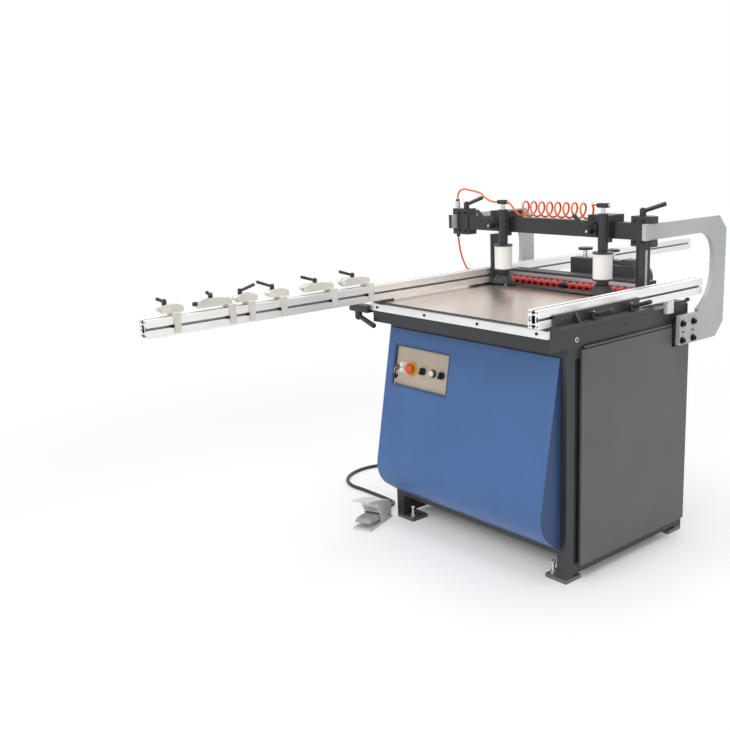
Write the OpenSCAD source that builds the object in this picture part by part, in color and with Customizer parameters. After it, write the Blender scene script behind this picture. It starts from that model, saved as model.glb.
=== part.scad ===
// Line boring machine with one tilting row of spindles.
// X runs along the spindle row, Y to the back, Z up. The origin is on the floor
// under the middle of the cabinet. All sizes are in millimetres.

/* [Cabinet] */
// Width of the cabinet over its posts
cab_w = 880; // [860:1:940]
// Depth of the cabinet over its posts
cab_d = 680; // [660:1:740]
// Side of the square posts and rails
tube = 40; // [36:1:44]
// Thickness of the sheet panels
sheet = 3; // [2:0.5:4]
// Gap between pieces that are bolted or welded together
seam = 0.2; // [0.1:0.05:0.3]
// Width of a foot plate along the front
foot_w = 92; // [80:1:110]
// Depth of a foot plate along the side
foot_d = 80; // [70:1:100]
// Thickness of a foot plate
foot_t = 14; // [10:1:18]
// Radius of the levelling bolt hole in a foot plate
foot_hole_r = 7; // [5:0.5:9]
// Height of the lower side rails above the floor
low_rail_z = 24; // [16:1:40]
// Height of the lower front rail above the floor
front_rail_z = 100; // [80:1:110]
// Height of the rear cross rail above the floor
rear_rail_z = 480; // [420:5:490]
// Width of the groove between post and side panel
groove = 24; // [12:1:30]
// How far the side panels stand out of the cabinet
side_t = 10; // [6:1:12]
// Height of the lower rail that shows under a side panel
rail_show = 26; // [10:1:34]

/* [Front cover] */
// Distance of the cover's top edge below the top of the posts
cover_drop = 33; // [25:1:50]
// Height of the lower edge of the cover
cover_low = 117; // [114:1:130]
// How far the top edge stands out of the cabinet
cover_lip = 5; // [4:1:10]
// Height of the knee where front and underside would meet
cover_knee_z = 198; // [180:1:230]
// How far the knee stands out of the cabinet
cover_knee_out = 112; // [100:1:130]
// Radius that rounds the knee
cover_r = 120; // [90:1:130]
// Distance of the cover from the left side of the cabinet
cover_left = 5; // [0:1:12]
// Distance of the cover from the right side of the cabinet
cover_right = 25; // [18:1:35]

/* [Controls] */
// Width of the control panel
panel_w = 312; // [300:1:330]
// Height of the control panel
panel_h = 163; // [140:1:175]
// Distance of the control panel below the top edge of the cover
panel_drop = 58; // [45:1:70]
// Distance of the control panel from the left end of the cover
panel_left = 36; // [34:1:50]
// Depth of the control panel's box
panel_d = 50; // [40:1:55]
// How deep the panel's face lies in its frame
panel_recess = 12; // [8:1:16]
// Clearance of the panel in the cover
panel_gap = 0.3; // [0.2:0.1:0.5]
// Height of the row of controls above the panel's lower edge
row_z = 76; // [65:1:85]
// Radius of the stems of the controls
stem_r = 5; // [4:0.5:6]
// Clearance of a stem in the panel
stem_gap = 0.2; // [0.1:0.05:0.3]
// Radius of the emergency stop's mushroom head
mushroom_r = 20; // [16:1:24]
// Travel of the emergency stop
mushroom_travel = 5; // [3:1:8]
// Radius of the start button
button_r = 11; // [9:1:13]
// Travel of the start button
button_travel = 4; // [2:0.5:5]
// Radius of a selector's round base
selector_r = 14; // [11:1:16]

/* [Table] */
// Height of the table's working face
table_h = 900; // [890:1:930]
// Height of the apron between the posts and the table
apron_h = 60; // [40:1:80]
// Thickness of the table plate
table_t = 20; // [15:1:25]
// Depth of the table plate
table_d = 553; // [540:1:560]
// How far the table stands out in front of the cabinet
table_out = 85; // [70:1:100]
// Thickness of the aluminium rail in front of the table
rail_t = 14; // [10:1:20]
// Height of the aluminium rail
rail_h = 26; // [20:1:34]
// Distance of the rail below the table's face
rail_drop = 8; // [4:1:14]

/* [Fences] */
// Width of the fence profile
fence_w = 46; // [40:1:48]
// Height of the fence profile
fence_h = 58; // [50:1:66]
// Height of the fences above the table
fence_lift = 10; // [8:1:16]
// Width of the fence's slots
slot_w = 8; // [6:0.5:10]
// Width of the slots behind their mouths
slot_in_w = 16; // [12:1:20]
// Thickness of the lips beside a slot
slot_lip = 4; // [3:0.5:5]
// Depth of a slot
slot_d = 12; // [10:0.5:13]
// Length of the left fence
left_fence_l = 2995; // [2600:5:3200]
// Reach of the left fence in front of the cabinet's middle
left_fence_front = 1382; // [1370:1:1430]
// Distance of the left fence from the table's left edge
left_fence_in = 23; // [12:1:26]
// Length of the right fence
right_fence_l = 895; // [860:1:900]
// Reach of the right fence in front of the cabinet's middle
right_fence_front = 498; // [490:1:540]
// How far the right fence covers the table's right edge
right_fence_in = 26; // [24:1:40]
// Length of the angle that carries the right fence
angle_l = 440; // [400:5:480]
// Thickness of the angle's upright leg
angle_t = 8; // [5:1:10]
// Height of the angle's upright leg
angle_h = 36; // [24:1:44]
// Width of the shelf beside the upright leg
angle_shelf = 32; // [28:1:40]

/* [Stops] */
// Thickness of a stop's leg
stop_leg_t = 7; // [5:0.5:8]
// Width of a stop's leg along the fence
stop_leg_w = 22; // [18:1:26]
// Clearance of a stop on its fence
stop_gap = 0.3; // [0.2:0.05:0.5]
// Width of a stop's body across the fence
stop_body_w = 30; // [24:1:34]
// Height of a stop's body
stop_body_h = 27; // [22:1:30]
// Height of the bridge over the fence
stop_bridge_h = 12; // [9:1:16]
// Reach of a short stop in front of its leg
stop_short = 55; // [50:1:58]
// Reach of a long stop in front of its leg
stop_long = 128; // [110:1:130]
// Radius of the bumper at a stop's nose
bumper_r = 7; // [5:0.5:8]
// Length of the bumper
bumper_l = 10; // [6:1:12]

/* [Side arms] */
// Thickness of a side arm
arm_t = 16; // [12:1:20]
// Distance of a side arm from the cabinet's side
arm_off = 22; // [20:1:30]
// Height of the top of the arms above the table
arm_rise = 290; // [280:1:310]
// Height of an arm's upper bar
arm_bar_h = 54; // [48:1:60]
// Front end of the upper bar behind the cabinet's middle
arm_front = 18; // [8:1:20]
// Back of the arms behind the cabinet's middle
arm_back = 517; // [505:1:545]
// Width of the arm's back post
arm_post_w = 80; // [65:1:90]
// Radius of the throat's upper corner
throat_r = 87; // [70:1:100]
// Radius of the throat's lower sweep
sweep_r = 155; // [130:1:170]
// Size of the chamfers at the arm's outer corners
arm_chamfer = 50; // [40:1:60]
// Distance of the arms' lower edge below the top of the posts
arm_under = 77; // [70:1:85]
// Height of the arm's lower leg
arm_leg_h = 107; // [95:1:115]
// Front end of the lower leg behind the cabinet's middle
arm_leg_front = 235; // [225:1:245]
// Length of the slots in an arm's lower leg
arm_slot_l = 22; // [16:1:28]
// Height of the slots in an arm's lower leg
arm_slot_h = 5; // [4:0.5:7]

/* [Clamp beam] */
// Front of the beam behind the cabinet's middle
beam_front = 50; // [46:1:54]
// Depth of the beam
beam_d = 40; // [34:1:44]
// Height of the beam
beam_h = 57; // [50:1:62]
// Width of the bracket at each end of the beam
bracket_w = 62; // [50:1:70]
// Depth of a bracket along the arm
bracket_d = 48; // [42:1:56]
// Thickness of a bracket's jaws
jaw_t = 24; // [18:1:28]
// How far the jaws reach past the outer face of an arm
jaw_out = 4; // [2:1:12]
// Depth of a bracket's jaws along the arm
jaw_d = 34; // [28:1:40]
// Clearance of sliding pieces
slide_gap = 0.3; // [0.2:0.05:0.4]

/* [Hold-downs] */
// Place of the left hold-down along the beam
left_hold_x = -183; // [-195:1:-170]
// Place of the right hold-down along the beam
right_hold_x = 294; // [280:1:300]
// Width of a carriage along the beam
carriage_w = 46; // [40:1:50]
// Distance of an air cylinder's axis in front of the beam
hold_out = 24; // [22:1:28]
// Height of a carriage
carriage_h = 120; // [114:1:124]
// Thickness of a carriage's hook over the beam
hook_t = 24; // [16:1:28]
// Length of the clamping block beside a carriage
side_block_l = 44; // [36:1:50]
// Height of the clamping block beside a carriage
side_block_h = 44; // [36:1:50]
// Outer radius of an air cylinder
barrel_r = 34; // [30:0.5:36]
// Height of an air cylinder
barrel_h = 88; // [80:1:92]
// Thickness of an air cylinder's end rings
ring_t = 6; // [4:1:7]
// How far the end rings stand out
ring_out = 2; // [1:0.5:3]
// Radius of a carriage's neck
neck_r = 17; // [14:0.5:22]
// Length of a carriage's neck
neck_h = 7; // [5:1:12]
// Radius of a cylinder's rod
rod_r = 10; // [8:0.5:12]
// Running clearance of rods, shafts and columns
run_gap = 0.05; // [0.02:0.01:0.1]
// Radius of the presser foot's base
foot_base_r = 42; // [38:0.5:43]
// Radius of the presser foot's top
foot_top_r = 22; // [18:0.5:26]
// Height of the presser foot
foot_h = 45; // [40:1:47]
// Gap between presser foot and air cylinder at rest
foot_gap = 3.3; // [3:0.1:4]

/* [Boring head] */
// Distance from spindle to spindle
pitch = 32; // [30:0.5:32]
// Height of the spindles above the table
spindle_lift = 26; // [24:1:30]
// Distance of the chuck noses behind the table's edge
nose_gap = 24; // [22:1:32]
// Radius of a chuck's front collar
collar_r = 11.5; // [10:0.5:13]
// Radius of a chuck's rear collar
rear_collar_r = 14.5; // [12:0.5:14.5]
// Length of a chuck's collars
collar_l = 12; // [8:1:13]
// Radius of a chuck's coloured sleeve
sleeve_r = 13.5; // [12:0.5:14.5]
// Length of a chuck's coloured sleeve
sleeve_l = 32; // [26:1:36]
// Radius of the bore that takes a drill's shank
shank_r = 5; // [4:0.25:6]
// Depth of the bore that takes a drill's shank
shank_l = 30; // [20:1:40]
// Radius of a spindle's shaft
shaft_r = 6; // [5:0.5:7]
// Length of a spindle's shaft in the housing
shaft_l = 70; // [55:1:72]
// Thickness of the housing's front plate
face_t = 14; // [10:1:18]
// Depth of the gear housing behind its front plate
housing_d = 68; // [64:1:76]
// Height of the gear housing
housing_h = 70; // [66:1:72]
// Length of the housing past the last spindle
housing_end = 16; // [15:1:17]
// Radius of the motor's body under its fins
motor_r = 46; // [40:1:48]
// Height of the motor's fins
fin_h = 7; // [5:0.5:8]
// Number of the motor's fins
fin_n = 28; // [20:1:32]
// Length of the motor's finned body
motor_l = 84; // [78:1:100]
// Length of the motor's fan cover
fan_l = 26; // [20:1:34]
// Place of the motor along the row
motor_x = 184; // [183:1:200]
// Width of the height block
block_w = 250; // [220:1:252]
// Depth of the height block
block_d = 44; // [40:1:50]
// Height of the top of the block above the table
block_top = 108; // [95:1:112]
// Distance between the guide columns
column_gap = 132; // [110:1:150]
// Radius of the guide columns
column_r = 11; // [9:0.5:13]
// Height of the columns' caps above the table
cap_z = 140; // [136:1:150]
// Radius of a column's cap
cap_r = 29; // [24:1:32]
// Thickness of a column's cap
cap_t = 9; // [6:1:12]

/* [Tilting cradle] */
// Distance of the tilting axis behind the table's edge
pivot_gap = 65; // [62:1:68]
// Distance of the tilting axis below the table's face
pivot_drop = 50; // [48:1:54]
// Radius of the pivot pins
pin_r = 15; // [12:0.5:18]
// Thickness of the cradle's side plates
cradle_t = 10; // [8:1:12]
// Height of the cradle's cross bars
cross_h = 40; // [36:1:42]
// Depth of the cradle's cross bars
cross_d = 20; // [16:1:24]
// Radius of the feed's guide rods
guide_r = 10; // [8:0.5:12]
// Distance between the guide rods
guide_gap = 420; // [380:5:440]
// Stroke of the feed
feed_stroke = 55; // [40:1:56]
// Depth of the feed slide along the guide rods
slide_d = 84; // [70:1:90]
// Gap between cradle and housing at each end
cradle_gap = 2.5; // [1.5:0.5:3]
// Gap between cradle and support at each end
support_gap = 3.5; // [2:0.5:4]
// Width of a support's upright
upright_w = 68; // [60:1:72]
// Thickness of a support's upright
upright_t = 12; // [10:1:14]
// Height of the uprights above the table
upright_h = 208; // [190:1:212]
// Width of the slot in an upright
upright_slot = 13; // [10:1:16]
// Width of an upright's front leg
upright_leg = 40; // [34:1:42]

/* [Clamp levers] */
// Radius of a clamp lever's hub
hub_r = 11; // [9:0.5:12]
// Height of a clamp lever's hub
hub_h = 24; // [20:1:28]
// Length of a clamp lever
lever_l = 80; // [60:1:84]
// Thickness of a clamp lever at its tip
lever_tip_r = 8; // [5:0.5:8.5]
// Rise of a clamp lever towards its tip
lever_rise = 26; // [16:1:30]

/* [Pedal] */
// Width of the pedal's base
pedal_w = 80; // [74:1:90]
// Length of the pedal's base
pedal_l = 178; // [172:1:190]
// Height of the front of the pedal's hood
pedal_h = 122; // [114:1:128]
// Height of the back of the pedal's hood
pedal_rear_h = 60; // [54:1:66]
// Wall of the pedal's hood
pedal_wall = 5; // [4:0.5:6]
// Thickness of the pedal's base
pedal_base_t = 8; // [6:1:10]
// Turn of the pedal on the floor
pedal_turn = 21; // [15:1:30]

/* [Hose and cable] */
// Radius of the air hose
hose_r = 4; // [3:0.5:4]
// Radius of the hose's curls
curl_r = 27; // [22:1:28]
// Number of curls
curl_n = 8; // [6:1:9]
// Radius of the pedal's cable
cable_r = 8; // [6:0.5:8]
// Gap between the end of a hose or cable and its seat
end_gap = 0.3; // [0.2:0.1:0.5]

/* [Hidden] */
$fn = 48;
// Half widths and levels of the cabinet
cab_x = cab_w / 2;
front_y = -cab_d / 2;
back_y = cab_d / 2;
post_h = table_h - table_t - apron_h;
cover_top = post_h - cover_drop;
table_front = front_y - table_out;
table_back = table_front + table_d;
spindle_z = table_h + spindle_lift;
nose_y = table_back + nose_gap;
pivot_y = table_back + pivot_gap;
// Lines of the cover's section, from its knee up the front and back along the underside
knee = [-cover_knee_out, cover_knee_z];
up_len = norm([cover_knee_out - cover_lip, cover_top - cover_knee_z]);
up_dir = [cover_knee_out - cover_lip, cover_top - cover_knee_z] / up_len;
low_len = norm([cover_knee_out, cover_knee_z - cover_low]);
low_dir = [cover_knee_out, cover_low - cover_knee_z] / low_len;
up_in = [up_dir[1], -up_dir[0]];
low_in = [-low_dir[1], low_dir[0]];
knee_cos = up_in * low_in;
knee_half = acos(knee_cos) / 2;
bend_steps = 24;
knee_centre = knee + (up_in + low_in) * cover_r / (1 + knee_cos);
cover_lean = atan2(up_dir[0], up_dir[1]);
cover_x0 = -cab_x + cover_left;
cover_x1 = cab_x - cover_right;
// Control panel and its row of controls, from the left end of the panel
panel_x = cover_x0 + panel_left;
row_in = 51;
row_out = 46;
row_steps = [0, 49, 112, 167, 215];
function control_x(k) = row_in + (panel_w - row_in - row_out) * row_steps[k] / row_steps[4];
switch_x = control_x(0);
stop_button_x = control_x(1);
selector_xs = [control_x(2), control_x(4)];
start_x = control_x(3);
ring_plate_t = 3;
switch_plate = 40;
// Fences
fence_z = table_h + fence_lift;
left_fence_x = -cab_x + left_fence_in + fence_w / 2;
right_fence_x = cab_x - right_fence_in + fence_w / 2;
angle_x = cab_x - right_fence_in + fence_w + seam;
angle_front = -right_fence_front + 62;
angle_lever_x = angle_x + angle_t + angle_shelf / 2;
angle_lever_ys = [-262, -61];
clamp_w = 108;
clamp_d = 30;
clamp_lever_x = -cab_x - 72;
clamp_z = table_h - rail_drop - rail_h - 11;
stop_ys = [-1276, -1075, -1000, -873, -657, -489];
stop_fronts = [stop_short, stop_long, stop_short, stop_short, stop_long, stop_long];
stop_backs = [36, 12, 36, 36, 12, 12];
stop_lever = 0.7;
stop_turns = [-50, -40, 80, -135, -100, -100];
// Side arms and the beam that slides on them
arm_x = cab_x + arm_off;
arm_top = table_h + arm_rise;
arm_low = post_h - arm_under;
arm_slot_ys = [arm_leg_front + 22, arm_leg_front + 81];
arm_bar_z = arm_top - arm_bar_h;
arm_post_y = arm_back - arm_post_w;
sweep_y = arm_post_y - sweep_r;
sweep_run = 39;
sweep_z = arm_low + arm_leg_h + sqrt(sweep_r ^ 2 - sweep_run ^ 2);
beam_x = arm_x - bracket_w - 4;
beam_z = arm_top - beam_h;
bracket_y = beam_front + beam_d / 2;
web_x = arm_x - 4;
lever_x = (beam_x + web_x) / 2;
lever_z = arm_top + slide_gap + jaw_t + seam;
jaw_y = bracket_y - (bracket_d - jaw_d) / 2;
// Hold-downs
hold_y = beam_front - hold_out;
carriage_top = arm_top + slide_gap + hook_t;
carriage_low = carriage_top - carriage_h;
ring_top = carriage_low - neck_h;
barrel_top = ring_top - ring_t;
barrel_low = barrel_top - barrel_h;
plate_t = 24;
column_out_r = 18;
tee_w = 17;
tee_d = 18;
tee_h = 16;
presser_z = barrel_low - ring_t - foot_gap - foot_h;
// Boring head; the number of spindles sets the number of pieces
spindle_n = 21;
row_l = (spindle_n - 1) * pitch;
housing_x = row_l / 2 + housing_end;
chuck_l = 2 * collar_l + sleeve_l;
face_y = nose_y + chuck_l + slide_gap;
housing_y = face_y + face_t;
housing_back = housing_y + housing_d;
housing_z = spindle_z - 36;
flange_t = 12;
motor_y = housing_back + flange_t;
motor_z = spindle_z + 22;
block_y = housing_back + 70;
column_y = block_y + block_d / 2;
saddle_top = table_h - 32;
saddle_t = 32;
guide_z = saddle_top - saddle_t / 2;
// Cradle
pivot_z = table_h - pivot_drop;
cradle_x = housing_x + cradle_gap;
support_x = cradle_x + cradle_t + support_gap;
support_out = cab_x - tube - seam;
cross_front = block_y + block_d / 2 - slide_d / 2 - feed_stroke - cross_d - 20;
cross_back = block_y + block_d / 2 + slide_d / 2 + 24;
cross_z = saddle_top - cross_h - 4;
feed_r = 14;
feed_rod_r = 6;
feed_end = cross_back + cross_d + 40;
upright_y = table_back + 12;
// Pedal, its cable and the air hose
pedal_at = [-459, -455];
pedal_hinge_y = 58;
pedal_hinge_z = 20;
pedal_hinge_r = 4;
tread_w = pedal_w - 2 * pedal_wall - 6;
pedal_back = pedal_l / 2;
hood_front = -pedal_back;
function pedal_point(y, z) =
    [pedal_at[0] - y * sin(pedal_turn), pedal_at[1] + y * cos(pedal_turn), z];
gland = [-cab_x - seam - side_t, 150, 90];
cable_points = concat(
    [for (step = [[-end_gap, 0, 0], [-12, 0, 0], [-24, 0, 0], [-36, 0, 0], [-72, -2, -14], [-112, -6, -44],
                  [-160, -14, -70]]) gland + step],
    [[-662, 126, cable_r], [-740, 106, cable_r], [-820, 84, cable_r], [-890, 56, cable_r], [-942, 18, cable_r],
     [-970, -30, cable_r], [-980, -86, cable_r], [-972, -145, cable_r], [-946, -200, cable_r],
     [-900, -244, cable_r], [-836, -266, cable_r], [-766, -263, cable_r], [-690, -262, cable_r],
     [-630, -262, cable_r], [-587, -264, cable_r], [-543, -277, cable_r + 3]],
    [pedal_point(pedal_back + 65, cable_r + 10), pedal_point(pedal_back + 30, cable_r + 18),
     pedal_point(pedal_back + 10, cable_r + 20), pedal_point(pedal_back - 7 + end_gap, cable_r + 20)]
);
// The hose rises from the left bracket, meets the left hold-down and curls on to the right one
hose_seat_h = 28;
hose_fit_r = 9;
hose_z = carriage_top + 34;
hose_start = [-arm_x - arm_t / 2, jaw_y, arm_top + slide_gap + jaw_t + hose_seat_h];
hose_end = [left_hold_x - tee_w, hold_y, hose_z];
hose_rise = concat(
    [for (step = [[0, 0, end_gap], [0, 0, 8], [0, 0, 16], [5, -1, 30], [20, -4, 43], [46, -10, 50], [80, -18, 48]])
        hose_start + step],
    [for (step = [[-120, 12, 32], [-84, 6, 15], [-56, 2, 4], [-32, 0, 0], [-16, 0, 0], [-end_gap, 0, 0]])
        hose_end + step]
);
curl_x0 = left_hold_x + 58;
curl_x1 = right_hold_x - 104;
curl_y = bracket_y;
curl_z = arm_top + curl_r + hose_r + 2;
// The supply hose drops from the left bracket to its seat on the apron
supply_start = [-arm_x - arm_t / 2, jaw_y, arm_bar_z - slide_gap - jaw_t - 2];
supply_end = [-cab_x + 10, table_back + 42, post_h + apron_h + 16];
supply_points = concat(
    [for (step = [[0, 0, -end_gap], [0, 0, -10], [0, 0, -20], [0, 4, -44], [1, 10, -76], [5, 20, -110], [12, 35, -145]])
        supply_start + step],
    [for (step = [[-21, -54, 62], [-8, -20, 40], [0, 0, 22], [0, 0, 11], [0, 0, end_gap]]) supply_end + step]
);

spindle_names = [for (i = [1:spindle_n]) str("spindle_", i < 10 ? "0" : "", i)];
stop_names = [for (i = [1:len(stop_ys)]) str("stop_", i)];

// A flat outline in Y and Z, drawn out along X from x0 to x1
module along_x(x0, x1) {
    translate([x0, 0, 0]) rotate([90, 0, 90]) linear_extrude(x1 - x0) children();
}

// A box between two corners
module box(a, b) {
    translate(a) cube(b - a);
}

// A round bar along X, Y or Z from one end to the other
module bar_x(x0, x1, y, z, r) {
    translate([x0, y, z]) rotate([0, 90, 0]) cylinder(h = x1 - x0, r = r);
}
module bar_y(y0, y1, x, z, r) {
    translate([x, y0, z]) rotate([-90, 0, 0]) cylinder(h = y1 - y0, r = r);
}
module bar_z(z0, z1, x, y, r) {
    translate([x, y, z0]) cylinder(h = z1 - z0, r = r);
}

// Both sides of the machine from a shape on the right
module both_sides() {
    children();
    mirror([1, 0, 0]) children();
}

// Frame of square tubes with foot plates, side panels and a rear panel
module cabinet_frame() color("dimgray") {
    both_sides() {
        for (y = [front_y, back_y - tube])
            box([cab_x - tube, y, foot_t + seam], [cab_x, y + tube, post_h]);
        for (side = [-1, 1]) translate([cab_x, side * back_y, 0]) foot_plate(side);
        box([cab_x - tube, front_y + tube + seam, low_rail_z], [cab_x, back_y - tube - seam, low_rail_z + tube]);
        box([cab_x - tube, front_y + tube + seam, post_h - tube], [cab_x, back_y - tube - seam, post_h]);
        side_panel();
        apron_side();
        arm_spacer();
    }
    tie = cab_x - tube - seam;
    box([-tie, front_y, front_rail_z], [tie, front_y + tube, front_rail_z + tube]);
    box([-tie, front_y, post_h - tube], [tie, front_y + tube, post_h]);
    box([-tie, back_y - tube, low_rail_z], [tie, back_y, low_rail_z + tube]);
    box([-tie, back_y - tube, rear_rail_z], [tie, back_y, rear_rail_z + tube]);
    box([-tie, back_y + seam, low_rail_z], [tie, back_y + seam + sheet, rear_rail_z + tube]);
    for (y = [table_front, table_back - tube])
        box([-tie, y, post_h + seam], [tie, y + tube, post_h + apron_h - seam]);
    cable_gland();
}

// Foot plate turned inward under a post, with the hole of its levelling bolt
module foot_plate(side) {
    difference() {
        translate([-foot_w, side > 0 ? -foot_d : 0, 0]) cube([foot_w, foot_d, foot_t]);
        translate([-foot_w + 20, -side * (foot_d - 20), -1]) cylinder(h = foot_t + 2, r = foot_hole_r);
    }
}

// Raised sheet on the side, notched where the arm's spacer is bolted on, and the sheet behind its groove
module side_panel() {
    z0 = low_rail_z + rail_show;
    z1 = post_h - 12;
    y0 = front_y + tube + groove;
    notch_y = arm_leg_front - 6;
    notch_z = arm_low - 8;
    along_x(cab_x + seam, cab_x + seam + side_t)
        polygon([[y0, z0], [back_y - 2, z0], [back_y - 2, notch_z], [notch_y, notch_z], [notch_y, z1], [y0, z1]]);
    rails = [low_rail_z + tube + seam, post_h - tube - seam];
    box([cab_x - 12, front_y + tube + seam, rails[0]], [cab_x - 12 + sheet, back_y - tube - seam, rails[1]]);
}

// Side beam of the apron under the table, with a bush and a small hole near the front
module apron_side() {
    z0 = post_h + seam;
    z1 = post_h + apron_h - seam;
    difference() {
        box([cab_x - tube, table_front, z0], [cab_x, back_y, z1]);
        bar_x(cab_x - 12, cab_x + 1, front_y + 46, (z0 + z1) / 2 - 6, 9);
        bar_x(cab_x - 12, cab_x + 1, front_y + 308, (z0 + z1) / 2 + 5, 3);
    }
    difference() {
        bar_x(cab_x - 11, cab_x + 2, front_y + 46, (z0 + z1) / 2 - 6, 8.8);
        bar_x(cab_x - 9, cab_x + 3, front_y + 46, (z0 + z1) / 2 - 6, 5);
    }
}

// Block between the cabinet's side and an arm
module arm_spacer() {
    box([cab_x + seam, arm_leg_front + seam, arm_low + seam], [arm_x - seam, back_y, post_h - seam]);
}

// Gland on the left side where the pedal's cable comes out, and the seat of the supply hose
module cable_gland() {
    difference() {
        bar_x(gland[0] - 20, gland[0] - seam, gland[1], gland[2], cable_r + 5);
        bar_x(gland[0] - 21, gland[0], gland[1], gland[2], cable_r + panel_gap);
    }
    bar_z(post_h + apron_h, supply_end[2], supply_end[0], supply_end[1], hose_fit_r);
}

// Section of the cover in Y and Z, each wall moved in by inset
module cover_section(inset, back) {
    corner = knee + (up_in + low_in) * inset / (1 + knee_cos);
    top = cover_top - inset;
    front_top = corner + up_dir * (top - corner[1]) / up_dir[1];
    low_back = corner + low_dir * (back - corner[0]) / low_dir[0];
    first = atan2(-up_in[1], -up_in[0]);
    bend = [
        for (k = [0:bend_steps])
            let (a = first + 2 * knee_half * k / bend_steps) knee_centre + (cover_r - inset) * [cos(a), sin(a)]
    ];
    polygon(concat([[back, top], front_top], bend, [low_back]));
}

// Frame on the cover's leaning face: X along it, Y into it, Z up it, from the panel's lower left corner
module on_cover() {
    translate([panel_x, front_y - cover_lip, cover_top]) rotate([-cover_lean, 0, 0])
        translate([0, 0, -panel_drop - panel_h]) children();
}

// Leaning front cover, open at the back, with a rounded lower edge
module front_cover() color("royalblue") {
    difference() {
        translate([0, front_y - seam, 0]) difference() {
            along_x(cover_x0, cover_x1) cover_section(0, 0);
            along_x(cover_x0 + sheet, cover_x1 - sheet) cover_section(sheet, 1);
        }
        on_cover() box([-panel_gap, -20, -panel_gap], [panel_w + panel_gap, 20, panel_h + panel_gap]);
    }
}

// Recessed panel with the places of its controls
module control_panel() color("wheat") {
    face = panel_recess;
    edge = 8;
    inner = edge + sheet;
    on_cover() {
        difference() {
            union() {
                box([0, 0, 0], [panel_w, face + sheet, panel_h]);
                box([edge, face, edge], [panel_w - edge, panel_d, panel_h - edge]);
            }
            box([edge, -1, edge], [panel_w - edge, face, panel_h - edge]);
            box([inner, face + sheet, inner], [panel_w - inner, panel_d + 1, panel_h - inner]);
            for (x = concat([switch_x, stop_button_x, start_x], selector_xs))
                bar_y(0, panel_d, x, row_z, stem_r + stem_gap);
        }
        difference() {
            union() {
                box([switch_x - switch_plate / 2, face - ring_plate_t, row_z - switch_plate / 2],
                    [switch_x + switch_plate / 2, face - seam, row_z + switch_plate / 2]);
                bar_y(face - ring_plate_t, face - seam, stop_button_x, row_z, mushroom_r + 8);
                bar_y(face - ring_plate_t, face - seam, start_x, row_z, button_r + 4);
            }
            for (x = [switch_x, stop_button_x, start_x]) bar_y(0, panel_d, x, row_z, stem_r + stem_gap);
        }
    }
}

// Round key switch with a slot for its key
module main_switch() color("silver") on_cover() difference() {
    union() {
        bar_y(panel_recess - 12, panel_recess - ring_plate_t - slide_gap, switch_x, row_z, 14);
        bar_y(panel_recess - 8, panel_recess + 20, switch_x, row_z, stem_r);
    }
    box([switch_x - 1.5, panel_recess - 13, row_z - 7], [switch_x + 1.5, panel_recess - 8, row_z + 7]);
}

// Mushroom head of the emergency stop on its stem
module emergency_stop() color("red") on_cover() {
    head = panel_recess - ring_plate_t - mushroom_travel - 1;
    translate([stop_button_x, head, row_z]) rotate([90, 0, 0]) rotate_extrude() polygon([
        [0, 0], [mushroom_r - 6, 0], [mushroom_r, 5], [mushroom_r, 10], [mushroom_r - 4, 15],
        [mushroom_r / 2, 18], [0, 19]
    ]);
    bar_y(head - 1, head + mushroom_travel + 24, stop_button_x, row_z, stem_r);
}

// Start button
module start_button() color("white") on_cover() {
    head = panel_recess - ring_plate_t - button_travel - 0.5;
    bar_y(head - 6, head, start_x, row_z, button_r);
    bar_y(head - 1, head + button_travel + 24, start_x, row_z, stem_r);
}

// Selector with a raised grip, at x along the panel
module selector(x) color("black") on_cover() {
    bar_y(panel_recess - 8, panel_recess - slide_gap, x, row_z, selector_r);
    bar_y(panel_recess - 1, panel_recess + 24, x, row_z, stem_r);
    box([x - 4, panel_recess - 22, row_z - selector_r + 2], [x + 4, panel_recess - 7, row_z + selector_r - 2]);
}
module selector_left() selector(selector_xs[0]);
module selector_right() selector(selector_xs[1]);

// Table plate
module work_table() color("rosybrown") {
    box([-cab_x, table_front, table_h - table_t], [cab_x, table_back, table_h]);
}

// Front rail, the angle and blocks that carry the fences, and the clamp at the rail's left end
module fence_rails() color("gainsboro") {
    rail_z = table_h - rail_drop - rail_h;
    box([-cab_x, table_front - seam - rail_t, rail_z], [cab_x, table_front - seam, rail_z + rail_h]);
    for (y = [table_front + 10, table_back - 50])
        box([-cab_x + 4, y, table_h + seam], [left_fence_x + fence_w / 2 - 2, y + 40, fence_z - seam]);
    right_angle();
    clamp_block();
}

// Angle on the table's right edge: a shelf under the fence, an upright leg and a gusset
module right_angle() {
    y1 = angle_front + angle_l;
    shelf_x = angle_x + angle_t + angle_shelf;
    x0 = cab_x - right_fence_in + 4;
    gusset_y = angle_front + 100;
    box([x0, angle_front, table_h + seam], [shelf_x, y1, fence_z - seam]);
    box([angle_x, angle_front, fence_z], [angle_x + angle_t, y1, fence_z + angle_h]);
    translate([angle_x + angle_t + seam, gusset_y, fence_z]) rotate([90, 0, 0])
        linear_extrude(8, center = true) polygon([[0, 0], [angle_shelf - 8, 0], [0, angle_h]]);
    box([x0, table_back - 40, table_h + seam], [angle_x - 2, table_back - 4, fence_z - seam]);
}

// Block on the left end of the front rail
module clamp_block() {
    y1 = table_front - seam;
    box([-cab_x - 2 - clamp_w, y1 - clamp_d, clamp_z], [-cab_x - seam, y1, clamp_z + 28]);
}

// Slotted aluminium profile, centred on X, standing on z = 0
module fence_section() {
    difference() {
        translate([-fence_w / 2, 0]) square([fence_w, fence_h]);
        for (turn = [0, 180]) translate([0, fence_h / 2]) rotate(turn) {
            t_slot(fence_w / 2);
            rotate(90) t_slot(fence_h / 2);
        }
    }
}

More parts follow.
